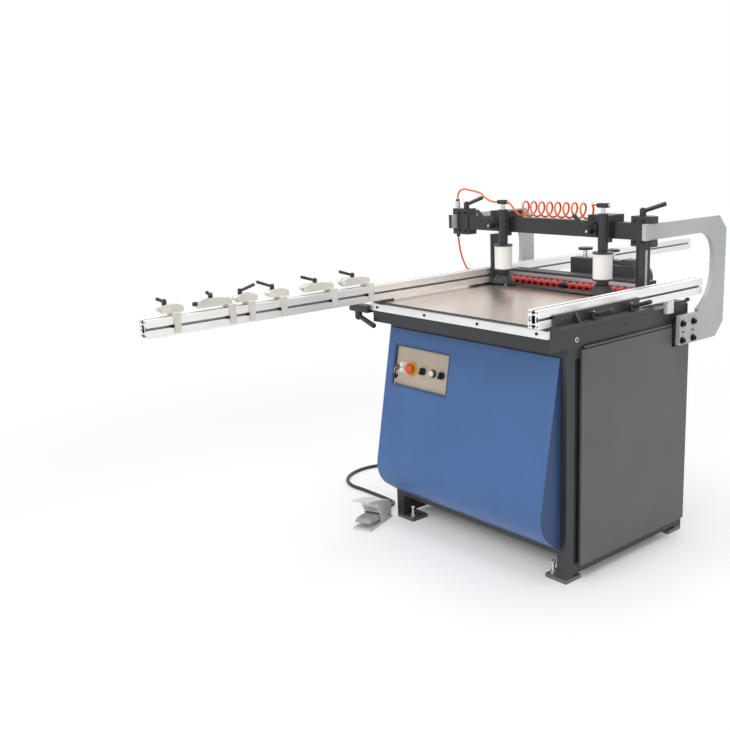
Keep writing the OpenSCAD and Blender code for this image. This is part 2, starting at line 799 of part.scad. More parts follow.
// Slot open at x = face, narrow at its mouth
module t_slot(face) {
    translate([face - slot_d, -slot_w / 2]) square([slot_d + 1, slot_w]);
    translate([face - slot_d, -slot_in_w / 2]) square([slot_d - slot_lip, slot_in_w]);
}

module fence_bar(x, front, length) {
    translate([x, -front + length, fence_z]) rotate([90, 0, 0]) linear_extrude(length) fence_section();
}

// Long left fence and short right fence
module fence_profiles() color("silver") {
    fence_bar(left_fence_x, left_fence_front, left_fence_l);
    fence_bar(right_fence_x, right_fence_front, right_fence_l);
}

// Clamp lever with its hub on z = 0 and its arm along +X, at k times its full size
module lever(k) color("black") {
    rise = atan2(lever_rise, lever_l);
    cylinder(h = k * hub_h, r = k * hub_r);
    translate([0, 0, k * (hub_h - 9)]) rotate([0, 90 - rise, 0]) rotate_extrude() polygon(k * [
        [0, 0], [7, 0], [lever_tip_r, lever_l - 4], [lever_tip_r - 2, lever_l], [0, lever_l + 1]
    ]);
    translate([0, 0, k * hub_h - 1]) cylinder(h = 1 + 3 * k, r = k * (hub_r - 5));
}
module fence_lever_front() translate([angle_lever_x, angle_lever_ys[0], fence_z + seam]) lever(1);
module fence_lever_rear() translate([angle_lever_x, angle_lever_ys[1], fence_z + seam]) lever(1);
module clamp_lever() {
    translate([clamp_lever_x, table_front - seam - clamp_d / 2, clamp_z - seam]) mirror([0, 0, 1]) lever(1.25);
}

// Stop on the left fence: a bridge and leg over the profile, a cast body, a bumper and its lever
module stop(i) {
    reach = stop_fronts[i];
    tail = stop_backs[i];
    leg_x = fence_w / 2 + stop_gap;
    body_z = stop_gap + stop_bridge_h;
    translate([left_fence_x, stop_ys[i], fence_z + fence_h]) color("ivory") {
        box([-fence_w / 2, -stop_leg_w / 2, stop_gap], [leg_x + stop_leg_t, stop_leg_w / 2, body_z]);
        box([leg_x, -stop_leg_w / 2, 6 - fence_h], [leg_x + stop_leg_t, stop_leg_w / 2, body_z - 1]);
        translate([0, 0, body_z - 1]) stop_body(-reach + bumper_l, tail, stop_body_w / 2, stop_body_h + 1);
        bar_y(-reach, -reach + bumper_l + 4, 0, body_z + stop_body_h / 2, bumper_r);
        translate([0, -reach / 2, body_z + stop_body_h - 2]) rotate(stop_turns[i]) lever(stop_lever);
    }
}

// Cast body of a stop from y0 to y1, w to each side: its side view and its plan, both with cut corners
module stop_body(y0, y1, w, h) {
    intersection() {
        along_x(-w, w) polygon([
            [y0, h * 0.3], [y0 + h * 0.2, 0], [y1, 0], [y1, h * 0.45], [y1 - h * 0.5, h * 0.8],
            [y0 + (y1 - y0) * 0.62, h], [y0 + h * 0.7, h], [y0 + h * 0.15, h * 0.75]
        ]);
        translate([0, 0, -1]) linear_extrude(h + 2) polygon([
            [-w * 0.6, y0], [w * 0.6, y0], [w, y0 + w * 0.8], [w, y1 - w * 0.5], [w * 0.5, y1],
            [-w * 0.5, y1], [-w, y1 - w * 0.5], [-w, y0 + w * 0.8]
        ]);
    }
}

// Outline of the right arm in Y and Z: a bar over an open throat and a lower leg
module arm_outline() {
    leg_top = arm_low + arm_leg_h;
    difference() {
        polygon([
            [arm_front, arm_top], [arm_back - arm_chamfer, arm_top], [arm_back, arm_top - arm_chamfer],
            [arm_back, arm_low + arm_chamfer], [arm_back - arm_chamfer, arm_low],
            [arm_leg_front, arm_low], [arm_leg_front, leg_top], [arm_front, leg_top]
        ]);
        square_cut = [arm_post_y - throat_r, arm_bar_z - throat_r];
        translate([arm_front - 1, leg_top]) square([square_cut[0] - arm_front + 1, arm_bar_z - leg_top]);
        translate([arm_front - 1, sweep_z]) square([arm_post_y - arm_front + 1, square_cut[1] - sweep_z]);
        translate(square_cut) circle(throat_r);
        intersection() {
            translate([sweep_y, sweep_z]) circle(sweep_r);
            translate([arm_front, leg_top]) square([arm_post_y, arm_bar_z - leg_top]);
        }
        translate([arm_front - 1, leg_top - 1]) square([arm_leg_front - arm_front + 1, 2]);
        for (y = arm_slot_ys) translate([y, (arm_low + post_h) / 2 + 8]) square([arm_slot_l, arm_slot_h], center = true);
    }
}

// The two side arms
module side_arms() color("gray") both_sides() along_x(arm_x, arm_x + arm_t) arm_outline();

// Beam with a bracket at each end that grips an arm, and the seats of its hoses
module clamp_beam() color("dimgray") {
    y0 = bracket_y - bracket_d / 2;
    y1 = bracket_y + bracket_d / 2;
    low = arm_bar_z - slide_gap - jaw_t;
    top = arm_top + slide_gap + jaw_t;
    jaw_back = y0 + jaw_d;
    out_x = arm_x + arm_t + jaw_out;
    box([-beam_x + seam, beam_front, beam_z], [beam_x - seam, beam_front + beam_d, arm_top]);
    both_sides() {
        box([beam_x, y0, low], [web_x, y1, top]);
        box([web_x + seam, y0, top - jaw_t], [out_x, jaw_back, top]);
        box([web_x + seam, y0, low], [out_x, jaw_back, low + jaw_t]);
    }
    bar_z(top + seam, hose_start[2], hose_start[0], hose_start[1], 10);
    bar_z(supply_start[2], low - seam, supply_start[0], supply_start[1], 8);
}

module beam_lever_right() translate([lever_x, bracket_y, lever_z]) rotate(35) lever(1);
module beam_lever_left() translate([-lever_x, bracket_y, lever_z]) rotate(75) lever(1);

// Carriage that hooks over the beam: a round column on a plate, its clamping block, air cylinder and hose tee
module carriage(x) translate([x, 0, 0]) color("black") {
    half = carriage_w / 2;
    back = beam_front + beam_d + slide_gap;
    hook_z = carriage_top - hook_t;
    plate_y = beam_front - slide_gap - plate_t;
    hook_x = -half - side_block_l;
    difference() {
        union() {
            box([-half, plate_y, beam_z - 12], [half, beam_front - slide_gap, carriage_top]);
            box([hook_x, plate_y, hook_z], [half, back + hook_t, carriage_top]);
            box([hook_x, back, hook_z - 32], [half, back + hook_t, carriage_top]);
            bar_z(carriage_low, carriage_top + 6, 0, hold_y, column_out_r);
            bar_z(ring_top, carriage_low + 1, 0, hold_y, neck_r);
        }
        bar_z(ring_top - 1, carriage_low + 40, 0, hold_y, rod_r + 2);
    }
    side_z = beam_z + 4;
    box([-half - side_block_l, plate_y - 8, side_z], [-half - seam, beam_front - slide_gap, side_z + side_block_h]);
    air_cylinder();
    bar_z(carriage_top + 6 + seam, hose_z - tee_h / 2 - seam, 0, hold_y, 8);
    box([-tee_w, hold_y - tee_d / 2, hose_z - tee_h / 2], [tee_w, hold_y + tee_d / 2, hose_z + tee_h / 2]);
}

// White barrel with a dark ring at each end, bored for its rod
module air_cylinder() translate([0, hold_y, 0]) {
    color("white") difference() {
        translate([0, 0, barrel_low + seam]) cylinder(h = barrel_h - 2 * seam, r = barrel_r);
        translate([0, 0, barrel_low - 1]) cylinder(h = barrel_h + 2, r = rod_r + 2);
    }
    difference() {
        translate([0, 0, barrel_top]) cylinder(h = ring_t - seam, r = barrel_r + ring_out);
        translate([0, 0, barrel_top - 1]) cylinder(h = ring_t + 2, r = rod_r + 2);
    }
    difference() {
        translate([0, 0, barrel_low - ring_t]) cylinder(h = ring_t, r = barrel_r + ring_out);
        translate([0, 0, barrel_low - ring_t - 1]) cylinder(h = ring_t + 2, r = rod_r + run_gap);
    }
}
module carriage_left() carriage(left_hold_x);
module carriage_right() carriage(right_hold_x);

// Clamp lever in front of a carriage's side block, pointing up and outward
module carriage_lever(x) {
    at = [x - carriage_w / 2 - side_block_l / 2, beam_front - slide_gap - plate_t - 8 - seam,
          beam_z + 4 + side_block_h / 2];
    translate(at) rotate([90, 0, 0]) rotate(130) lever(1);
}
module carriage_lever_left() carriage_lever(left_hold_x);
module carriage_lever_right() carriage_lever(right_hold_x);

// Rod with a conical presser foot
module presser(x) translate([x, hold_y, presser_z]) color("black") {
    rotate_extrude() polygon([
        [0, 0], [foot_base_r - 2, 0], [foot_base_r, 2], [foot_base_r, 7], [foot_top_r + 6, foot_h - 14],
        [foot_top_r, foot_h - 10], [foot_top_r, foot_h], [0, foot_h]
    ]);
    cylinder(h = barrel_low - presser_z + 50, r = rod_r);
}
module presser_left() presser(left_hold_x);
module presser_right() presser(right_hold_x);

// Bearing blocks of the tilting axis, each with a slotted upright at the end of the spindle row
module head_supports() color("black") both_sides() {
    block_y0 = pivot_y - 33;
    block_y1 = pivot_y + 33;
    difference() {
        union() {
            box([support_x, block_y0, pivot_z - 28], [support_out, block_y1, table_h - table_t - 2]);
            box([support_x, upright_y, table_h - table_t - 3],
                [support_x + upright_t, upright_y + upright_w, table_h + upright_h]);
        }
        bar_x(support_x - 1, support_out + 1, pivot_y, pivot_z, pin_r + run_gap);
        slot_y = upright_y + upright_leg;
        box([support_x - 1, slot_y, table_h + 24],
            [support_x + upright_t + 1, slot_y + upright_slot, table_h + upright_h - 26]);
    }
}

// Tilting cradle: side plates on pivot pins, two cross bars and the feed's guide rods
module head_cradle() color("slategray") {
    both_sides() {
        bar_x(cradle_x, cradle_x + cradle_t, pivot_y, pivot_z, pin_r + 15);
        along_x(cradle_x, cradle_x + cradle_t) polygon([
            [pivot_y, pivot_z - pin_r - 15], [cross_back + cross_d, cross_z],
            [cross_back + cross_d, cross_z + cross_h], [pivot_y, pivot_z + pin_r + 15]
        ]);
        bar_x(cradle_x, support_out - 2, pivot_y, pivot_z, pin_r);
    }
    difference() {
        for (y = [cross_front, cross_back])
            box([-cradle_x + seam, y, cross_z], [cradle_x - seam, y + cross_d, cross_z + cross_h]);
        for (side = [-1, 1])
            bar_y(cross_front - 1, cross_back + cross_d + 1, side * guide_gap / 2, guide_z, guide_r + seam);
        bar_y(cross_back - 1, cross_back + cross_d + 1, 0, guide_z, feed_r + seam);
    }
    for (side = [-1, 1]) bar_y(cross_front, cross_back + cross_d, side * guide_gap / 2, guide_z, guide_r);
    feed_cylinder();
}

// Air cylinder of the feed, held in the rear cross bar
module feed_cylinder() difference() {
    bar_y(cross_back - 15, feed_end, 0, guide_z, feed_r);
    bar_y(cross_back - 16, feed_end - 4, 0, guide_z, feed_rod_r + run_gap);
}

// Slide on the guide rods, with the two capped columns that carry the head
module feed_slide() color("lightgray") {
    y0 = column_y - slide_d / 2;
    half = guide_gap / 2 + 30;
    difference() {
        box([-half, y0, guide_z - saddle_t / 2], [half, y0 + slide_d, saddle_top]);
        for (side = [-1, 1]) {
            bar_y(y0 - 1, y0 + slide_d + 1, side * guide_gap / 2, guide_z, guide_r + run_gap);
            bar_z(saddle_top - 20, saddle_top + 1, side * column_gap / 2, column_y, column_r + seam);
        }
        bar_y(y0 + slide_d - 20, y0 + slide_d + 1, 0, guide_z, feed_rod_r + seam);
    }
    for (side = [-1, 1]) {
        bar_z(saddle_top - 20 + seam, table_h + cap_z - seam, side * column_gap / 2, column_y, column_r);
        bar_z(table_h + cap_z, table_h + cap_z + cap_t, side * column_gap / 2, column_y, cap_r);
    }
    bar_y(y0 + slide_d - 20 + seam, feed_end - 6, 0, guide_z, feed_rod_r);
}

// Gear housing with a bored front plate, the motor's plate and the block on the columns
module gear_housing() color("darkslategray") {
    low = housing_z;
    top = housing_z + housing_h;
    difference() {
        union() {
            box([-housing_x, housing_y + seam, low], [housing_x, housing_back, top]);
            box([-block_w / 2 + 4, housing_back - 1, low + 12], [block_w / 2 - 4, block_y + 1, low + 36]);
            box([-block_w / 2, block_y, low + 8], [block_w / 2, block_y + block_d, table_h + block_top]);
            motor_plate();
        }
        shaft_bores(housing_y, housing_back - 6);
        for (side = [-1, 1])
            bar_z(low, table_h + block_top + 1, side * column_gap / 2, column_y, column_r + run_gap);
    }
    difference() {
        box([-housing_x, face_y, low + 3], [housing_x, housing_y, top - 8]);
        shaft_bores(face_y - 1, housing_y + 1);
    }
}

// Plate that carries the motor behind the housing
module motor_plate() {
    half = motor_r + fin_h;
    box([motor_x - half, housing_back - 1, housing_z + 4], [motor_x + half, motor_y - seam, motor_z + half]);
}

// Row of bores for the spindle shafts
module shaft_bores(y0, y1) {
    for (i = [0:spindle_n - 1])
        bar_y(y0, y1, i * pitch - row_l / 2, spindle_z, shaft_r + run_gap);
}

// Drive motor with cooling fins, fan cover and terminal box
module motor() color("darkslategray") translate([motor_x, motor_y, motor_z]) {
    rotate([-90, 0, 0]) {
        cylinder(h = motor_l, r = motor_r);
        cylinder(h = 12, r = motor_r + fin_h);
        for (a = [0:360 / fin_n:359])
            rotate(a) translate([motor_r - 3, -1.5, 10]) cube([fin_h + 1, 3, motor_l - 10]);
        translate([0, 0, motor_l]) difference() {
            cylinder(h = fan_l, r = motor_r + fin_h);
            for (k = [0.3, 0.55, 0.8]) translate([0, 0, fan_l - 3]) difference() {
                cylinder(h = 4, r = k * (motor_r + fin_h) + 4);
                translate([0, 0, -1]) cylinder(h = 6, r = k * (motor_r + fin_h));
            }
        }
    }
    box([-27, 14, motor_r - 6], [27, 70, motor_r + fin_h + 20]);
}

// Spindle with its chuck; the coloured sleeve lies between two collars
module spindle(i) translate([i * pitch - row_l / 2, nose_y, spindle_z]) color("crimson") difference() {
    rotate([-90, 0, 0]) rotate_extrude() polygon([
        [0, shank_l], [shank_r, shank_l], [shank_r, 0], [collar_r - 2, 0], [collar_r, 2], [collar_r, collar_l],
        [sleeve_r, collar_l], [sleeve_r, collar_l + sleeve_l], [rear_collar_r, collar_l + sleeve_l],
        [rear_collar_r, chuck_l], [shaft_r, chuck_l], [shaft_r, chuck_l + shaft_l], [0, chuck_l + shaft_l]
    ]);
    bar_z(2, sleeve_r + 1, 0, collar_l + 8, 2.5);
    for (side = [-1, 1]) translate([side * (1.5 * collar_r - 1), collar_l / 2 - 2.5, 0])
        cube([collar_r, collar_l - 3, 2 * collar_r], center = true);
}

// Place of the pedal: its own X across and Y to its back
module at_pedal() translate([pedal_at[0], pedal_at[1], 0]) rotate(pedal_turn) children();

// Cast base of the pedal with a hood that rises forward over the treadle
module pedal_base() color("lightgray") at_pedal() {
    half = pedal_w / 2;
    back = pedal_back - 7;
    wall_y = -2;
    lintel = pedal_hinge_z + 27;
    roof = pedal_h - 20;
    t = pedal_wall;
    box([-half, -pedal_back, 0], [half, pedal_back, pedal_base_t]);
    difference() {
        along_x(-half + 1, half - 1) polygon([
            [back, pedal_base_t - 1], [back, pedal_rear_h], [back - 16, pedal_rear_h + 20], [0, roof],
            [hood_front, pedal_h], [hood_front, pedal_h - 6], [wall_y - 24, roof - 10], [wall_y, lintel],
            [wall_y, pedal_base_t - 1]
        ]);
        along_x(-half + 1 + t, half - 1 - t) polygon([
            [back - t, pedal_base_t], [back - t, pedal_rear_h - 3], [back - 17 - t, pedal_rear_h + 13], [0, roof - 7],
            [wall_y - 18, roof - 11], [wall_y + 7, lintel - 1], [wall_y - 1, lintel - 1], [wall_y - 1, pedal_base_t]
        ]);
        bar_x(-half, half, pedal_hinge_y, pedal_hinge_z, pedal_hinge_r + run_gap);
    }
}

// Treadle that turns on a pin across the hood and reaches out in front of it
module pedal_treadle() color("darkgray") at_pedal() {
    tip = -pedal_back + 3;
    along_x(-tread_w / 2, tread_w / 2) polygon([
        [pedal_hinge_y + 8, pedal_hinge_z - 6], [pedal_hinge_y + 8, pedal_hinge_z + 6], [-4, pedal_hinge_z + 19],
        [-30, pedal_hinge_z + 22], [tip + 16, pedal_hinge_z + 22], [tip, pedal_hinge_z + 14],
        [tip + 4, pedal_hinge_z + 9], [pedal_hinge_y - 14, pedal_hinge_z - 8]
    ]);
    bar_x(-pedal_w / 2 + 3, pedal_w / 2 - 3, pedal_hinge_y, pedal_hinge_z, pedal_hinge_r);
}

// Point k of a smooth curve through the points, at share t from point k to the next
function curve_point(p, k, t) =
    let (a = p[max(k - 1, 0)], b = p[k], c = p[k + 1], d = p[min(k + 2, len(p) - 1)])
    0.5 * (2 * b + (c - a) * t + (2 * a - 5 * b + 4 * c - d) * t ^ 2 + (3 * b - a - 3 * c + d) * t ^ 3);

// Points along a route, with steps points from each of its points to the next
function route(p, steps) =
    concat([for (k = [0:len(p) - 2], s = [0:steps - 1]) curve_point(p, k, s / steps)], [p[len(p) - 1]]);

// Direction of a route at its point i
function heading(p, i) =
    let (d = p[min(i + 1, len(p) - 1)] - p[max(i - 1, 0)]) d / norm(d);

// Side directions along a route, each turned from the last so that the tube doesn't twist
function side_dir(d, last) = let (s = last - (last * d) * d) s / norm(s);
function side_dirs(p, first) =
    [for (i = 0, s = side_dir(heading(p, 0), first); i < len(p);
          i = i + 1, s = i < len(p) ? side_dir(heading(p, i), s) : s) s];

// Tube of radius r with n sides along the points of a route
module bent_tube(p, r, n, first) {
    sides = side_dirs(p, first);
    points = [
        for (i = [0:len(p) - 1], k = [0:n - 1])
            let (d = heading(p, i), u = sides[i], v = cross(d, u), a = 360 * k / n)
            p[i] + r * (cos(a) * u + sin(a) * v)
    ];
    walls = [
        for (i = [0:len(p) - 2], k = [0:n - 1])
            let (a = i * n + k, b = i * n + (k + 1) % n)
            each [[a, a + n, b + n], [a, b + n, b]]
    ];
    last = (len(p) - 1) * n;
    caps = [for (k = [1:n - 2]) each [[0, k, k + 1], [last, last + k + 1, last + k]]];
    polyhedron(points, concat(walls, caps));
}

// Curls between the two carriages, with straight ends one tube diameter long
curl_rings = 8;
curl_steps = curl_n * curl_rings;
curls = [
    for (i = [0:curl_steps])
        let (t = i / curl_steps, a = 360 * curl_n * t, x = curl_x0 + (curl_x1 - curl_x0) * t)
        [x, curl_y + curl_r * sin(a), curl_z - curl_r * cos(a)]
];
curl_start = [left_hold_x + tee_w + end_gap, hold_y, hose_z];
curl_end = [right_hold_x - tee_w - end_gap, hold_y, hose_z];
curl_path = concat(
    [curl_start, curl_start + [2 * hose_r, 0, 0], [curl_x0 - 20, curl_y - 38, curl_z + 14],
     [curl_x0 - 10, curl_y - 28, curl_z - 6], [curl_x0 - 4, curl_y - 14, curl_z - 23]],
    curls,
    [[curl_x1 + 8, curl_y + 10, curl_z - 22], [curl_x1 + 20, curl_y + 8, curl_z - 4],
     [curl_x1 + 34, curl_y - 12, hose_z - 6], [curl_x1 + 48, curl_y - 34, hose_z],
     curl_end - [2 * hose_r, 0, 0], curl_end]
);

// Least gap of the hose to itself, measured between rings that aren't neighbours
hose_gap = min([
    for (i = [0:len(curl_path) - 1], j = [i + 4:1:len(curl_path) - 1])
        norm(curl_path[i] - curl_path[j]) - 2 * hose_r
]);
echo(hose_gap = hose_gap);

// Curly air hose of the hold-downs and the supply hose down to the apron
module air_hose() color("orangered") {
    bent_tube(curl_path, hose_r, 6, [0, 1, 0]);
    bent_tube(route(hose_rise, 2), hose_r, 8, [0, 1, 0]);
    bent_tube(route(supply_points, 2), hose_r, 8, [1, 0, 0]);
}

// Cable from the cabinet to the pedal
module pedal_cable() color("black") bent_tube(route(cable_points, 2), cable_r, 10, [0, 0, 1]);

cabinet_frame();
front_cover();
work_table();
fence_rails();
fence_profiles();
control_panel();
main_switch();
emergency_stop();
start_button();
selector_left();
selector_right();
side_arms();
fence_lever_front();
fence_lever_rear();
clamp_lever();
for (i = [0:len(stop_ys) - 1]) stop(i);
clamp_beam();
beam_lever_left();
beam_lever_right();
air_hose();
carriage_left();
carriage_right();
carriage_lever_left();
carriage_lever_right();
presser_left();
presser_right();
head_supports();
head_cradle();
feed_slide();
gear_housing();
motor();
pedal_base();
pedal_treadle();
pedal_cable();
for (i = [0:spindle_n - 1]) spindle(i);
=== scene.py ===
"""Looks of a line boring machine: finishes, cable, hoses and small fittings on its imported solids.

X runs along the spindle row, Y to the back and Z up. Pieces are measured in millimetres, and the
camera, the grain of finishes, the floor and the lamps in metres.
"""

import math

import bpy
from mathutils import Matrix, Vector


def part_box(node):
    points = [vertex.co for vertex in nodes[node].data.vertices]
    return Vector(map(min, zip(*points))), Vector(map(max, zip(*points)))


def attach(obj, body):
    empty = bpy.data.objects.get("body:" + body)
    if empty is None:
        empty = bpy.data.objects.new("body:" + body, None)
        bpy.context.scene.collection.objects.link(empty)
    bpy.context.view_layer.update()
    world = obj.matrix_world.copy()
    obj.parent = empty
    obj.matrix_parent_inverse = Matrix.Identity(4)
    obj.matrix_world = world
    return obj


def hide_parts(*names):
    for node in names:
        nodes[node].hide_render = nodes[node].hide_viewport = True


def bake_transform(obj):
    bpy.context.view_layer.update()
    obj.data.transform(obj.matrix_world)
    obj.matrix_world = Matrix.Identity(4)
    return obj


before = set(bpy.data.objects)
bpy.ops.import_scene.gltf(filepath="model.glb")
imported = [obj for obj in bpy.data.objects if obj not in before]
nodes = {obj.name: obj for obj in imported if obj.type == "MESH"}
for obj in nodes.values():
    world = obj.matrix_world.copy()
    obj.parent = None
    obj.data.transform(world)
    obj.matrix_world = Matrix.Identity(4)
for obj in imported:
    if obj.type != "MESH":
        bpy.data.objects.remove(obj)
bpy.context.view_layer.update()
scene = bpy.context.scene
scene.view_settings.view_transform = "Standard"

MM = 0.001


# Camera

CAMERA_AT = Vector((2.36496, -2.6635, 1.47817))
CAMERA_YAW = math.radians(48.97)
CAMERA_PITCH = math.radians(13.12)
CAMERA_ROLL = math.radians(-1.82)
SENSOR_WIDTH = 36
FOCAL_PIXELS = 951.4
CENTRE_PIXEL = 415
FRAME_PIXELS = 730
FARTHEST = 100


def add_camera():
    """Camera at the photograph's place, with its view centre right of the frame's middle."""
    data = bpy.data.cameras.new("camera")
    data.sensor_width = SENSOR_WIDTH
    data.lens = FOCAL_PIXELS / FRAME_PIXELS * SENSOR_WIDTH
    data.shift_x = (FRAME_PIXELS / 2 - CENTRE_PIXEL) / FRAME_PIXELS
    data.clip_end = FARTHEST
    ahead = Vector((-math.sin(CAMERA_YAW) * math.cos(CAMERA_PITCH),
                    math.cos(CAMERA_YAW) * math.cos(CAMERA_PITCH), -math.sin(CAMERA_PITCH)))
    level = Vector((math.cos(CAMERA_YAW), math.sin(CAMERA_YAW), 0))
    upright = level.cross(ahead)
    right = math.cos(CAMERA_ROLL) * level + math.sin(CAMERA_ROLL) * upright
    up = -math.sin(CAMERA_ROLL) * level + math.cos(CAMERA_ROLL) * upright
    turn = Matrix((right, up, -ahead)).transposed().to_4x4()
    camera = bpy.data.objects.new("camera", data)
    camera.matrix_world = Matrix.Translation(CAMERA_AT) @ turn
    scene.collection.objects.link(camera)
    scene.camera = camera


add_camera()


# Shader graphs

class Wire:
    """An output socket of a graph. Sums, differences and products of wires add Math nodes."""

    def __init__(self, graph, socket):
        self.graph = graph
        self.socket = socket

    def reckon(self, operation, first, second):
        return self.graph.node("ShaderNodeMath", {"operation": operation}, {0: first, 1: second})

    def __add__(self, other):
        return self.reckon("ADD", self, other)

    def __radd__(self, other):
        return self.reckon("ADD", other, self)

    def __sub__(self, other):
        return self.reckon("SUBTRACT", self, other)

    def __rsub__(self, other):
        return self.reckon("SUBTRACT", other, self)

    def __mul__(self, other):
        return self.reckon("MULTIPLY", self, other)

    def __rmul__(self, other):
        return self.reckon("MULTIPLY", other, self)


def set_stops(ramp, stops):
    """Colour stops (place, colour) of a ramp."""
    while len(ramp.elements) < len(stops):
        ramp.elements.new(0.5)
    for element, (place, colour) in zip(ramp.elements, stops):
        element.position = place
        element.color = (*colour, 1)


class Graph:
    """The shader nodes of a material or of the world."""

    def __init__(self, tree):
        self.tree = tree

    def feed(self, socket, value):
        if isinstance(value, Wire):
            self.tree.links.new(value.socket, socket)
        elif isinstance(value, tuple) and len(value) == 3 and socket.type == "RGBA":
            socket.default_value = (*value, 1)
        else:
            socket.default_value = value

    def node(self, kind, settings=None, inputs=None, output=0):
        """Adds a node, with its settings first and then the values or wires of its sockets."""
        made = self.tree.nodes.new(kind)
        for key, value in (settings or {}).items():
            if key == "stops":
                set_stops(made.color_ramp, value)
            else:
                setattr(made, key, value)
        for key, value in (inputs or {}).items():
            self.feed(made.inputs[key], value)
        return Wire(self, made.outputs[output])

    def spot(self):
        return self.node("ShaderNodeTexCoord", output="Object")

    def ease(self, value, start, end, most):
        """Rises smoothly from 0 at the start of a value's range to the most at its end."""
        return self.node("ShaderNodeMapRange", {"interpolation_type": "SMOOTHSTEP"}, {
            "Value": value, "From Min": start, "From Max": end, "To Min": 0.0, "To Max": most})

    def seen(self):
        """1 for rays that show a surface, also in a mirror or through glass, and 0 for others."""
        look = [self.node("ShaderNodeLightPath", output=ray)
                for ray in ("Is Camera Ray", "Is Glossy Ray", "Is Transmission Ray")]
        return self.node("ShaderNodeClamp", {}, {"Value": look[0] + look[1] + look[2]})


def shade(colour, factor):
    return tuple(min(1, c * factor) for c in colour)


EDGE_R = 0.0013
EDGE_SAMPLES = 4
EDGE_GAIN = 5


class Finish(Graph):
    """A material with one Principled shader, whose edges catch the light as if slightly rounded."""

    def __init__(self, name, **values):
        self.material = bpy.data.materials.new(name)
        self.material.use_nodes = True
        super().__init__(self.material.node_tree)
        self.shader = self.tree.nodes["Principled BSDF"]
        self.set(values)

    def set(self, values):
        for key, value in values.items():
            self.feed(self.shader.inputs[key.replace("_", " ")], value)

    def noise(self, scale, detail=2, rough=0.5, stretch=(1, 1, 1)):
        """Noise on Object coordinates. A small stretch along an axis draws it out into lines."""
        place = self.node("ShaderNodeMapping", {}, {"Vector": self.spot(), "Scale": stretch})
        return self.node("ShaderNodeTexNoise", {}, {
            "Vector": place, "Scale": scale, "Detail": detail, "Roughness": rough})

    def tones(self, factor, colour, dark, pale, half=0.2):
        """From a darker to a paler shade of a colour, as a factor passes one half."""
        stops = ((0.5 - half, shade(colour, dark)), (0.5 + half, shade(colour, pale)))
        return self.node("ShaderNodeValToRGB", {"stops": stops}, {"Fac": factor})

    def mix(self, factor, first, second):
        return self.node("ShaderNodeMix", {"data_type": "RGBA"}, {0: factor, 6: first, 7: second},
                         output=2)

    def soft_normal(self):
        return self.node("ShaderNodeBevel", {"samples": EDGE_SAMPLES}, {"Radius": EDGE_R})

    def wear_and_highlight(self, strength):
        """0 on flats, up to strength at edges, which are part rubbed and part a painted highlight."""
        flat = self.node("ShaderNodeNewGeometry", output="Normal")
        level = self.node("ShaderNodeVectorMath", {"operation": "DOT_PRODUCT"},
                          {0: self.soft_normal(), 1: flat}, output="Value")
        return self.node("ShaderNodeClamp", {}, {
            "Value": (1 - level) * (strength * EDGE_GAIN), "Max": strength})

    def bump(self, height, depth):
        self.set({"Normal": self.node("ShaderNodeBump", {}, {
            "Height": height, "Distance": depth, "Strength": 1.0, "Normal": self.soft_normal()})})


# Finishes

PEEL_SCALE = 700
PAINT_WEAR_AND_HIGHLIGHT = 0.3
WORN_AND_LIT_GREY, WORN_AND_LIT_SHARE = 0.5, 0.4
LINE_STRETCH = 0.012
ALONG_X, ALONG_Y = 0, 1
CAST_GRAIN = 0.00022
PLATED_MARKS = 0.00001


def paint(name, colour, rough=0.42, peel=0.00006):
    """Sprayed paint: faint clouds, a fine orange peel, a little dust and paler edges, part rubbed
    paint and part painted highlight.
    """
    finish = Finish(name, Specular_IOR_Level=0.45)
    cloud = finish.noise(scale=5, detail=3)
    speck = finish.noise(scale=260)
    tone = finish.tones(cloud * 0.75 + speck * 0.25, colour, dark=0.9, pale=1.08)
    # Edges turn paler: part rubbed paint, part painted highlight.
    worn_and_lit = tuple(c + (WORN_AND_LIT_GREY - c) * WORN_AND_LIT_SHARE for c in colour)
    finish.set({"Base Color": finish.mix(finish.wear_and_highlight(PAINT_WEAR_AND_HIGHLIGHT), tone, worn_and_lit),
                "Roughness": cloud * 0.10 + speck * 0.06 + (rough - 0.08)})
    finish.bump(finish.noise(scale=PEEL_SCALE), peel)
    return finish.material


def brushed(name, colour, along, rough, depth=0.00004, streak=0.16, metallic=1.0):
    """Brushed metal with fine lines along one axis."""
    finish = Finish(name, Metallic=metallic)
    stretch = tuple(LINE_STRETCH if axis == along else 1.0 for axis in range(3))
    lines = finish.noise(scale=900, detail=3, rough=0.6, stretch=stretch)
    broad = finish.noise(scale=70, stretch=stretch)
    cloud = finish.noise(scale=4)
    tone = finish.tones(lines * 0.5 + broad * 0.3 + cloud * 0.2, colour, dark=1 - streak,
                        pale=1 + streak, half=0.18)
    finish.set({"Base Color": tone, "Roughness": lines * 0.18 + cloud * 0.08 + (rough - 0.13)})
    finish.bump(lines, depth)
    return finish.material


def cast(name, colour, rough):
    """Painted or tumbled casting with a rough skin."""
    finish = Finish(name)
    skin = finish.noise(scale=330, detail=4, rough=0.6)
    cloud = finish.noise(scale=14, detail=3)
    tone = finish.tones(cloud * 0.6 + skin * 0.4, colour, dark=0.84, pale=1.1)
    finish.set({"Base Color": tone, "Roughness": skin * 0.2 + (rough - 0.1)})
    finish.bump(skin, CAST_GRAIN)
    return finish.material


def plastic(name, colour, rough=0.35, grain=0.00003):
    """Moulded plastic with a fine grain."""
    finish = Finish(name, Specular_IOR_Level=0.5)
    grainy = finish.noise(scale=1500)
    cloud = finish.noise(scale=40)
    tone = finish.tones(cloud, colour, dark=0.92, pale=1.06)
    finish.set({"Base Color": tone, "Roughness": grainy * 0.12 + cloud * 0.06 + (rough - 0.09)})
    finish.bump(grainy, grain)
    return finish.material


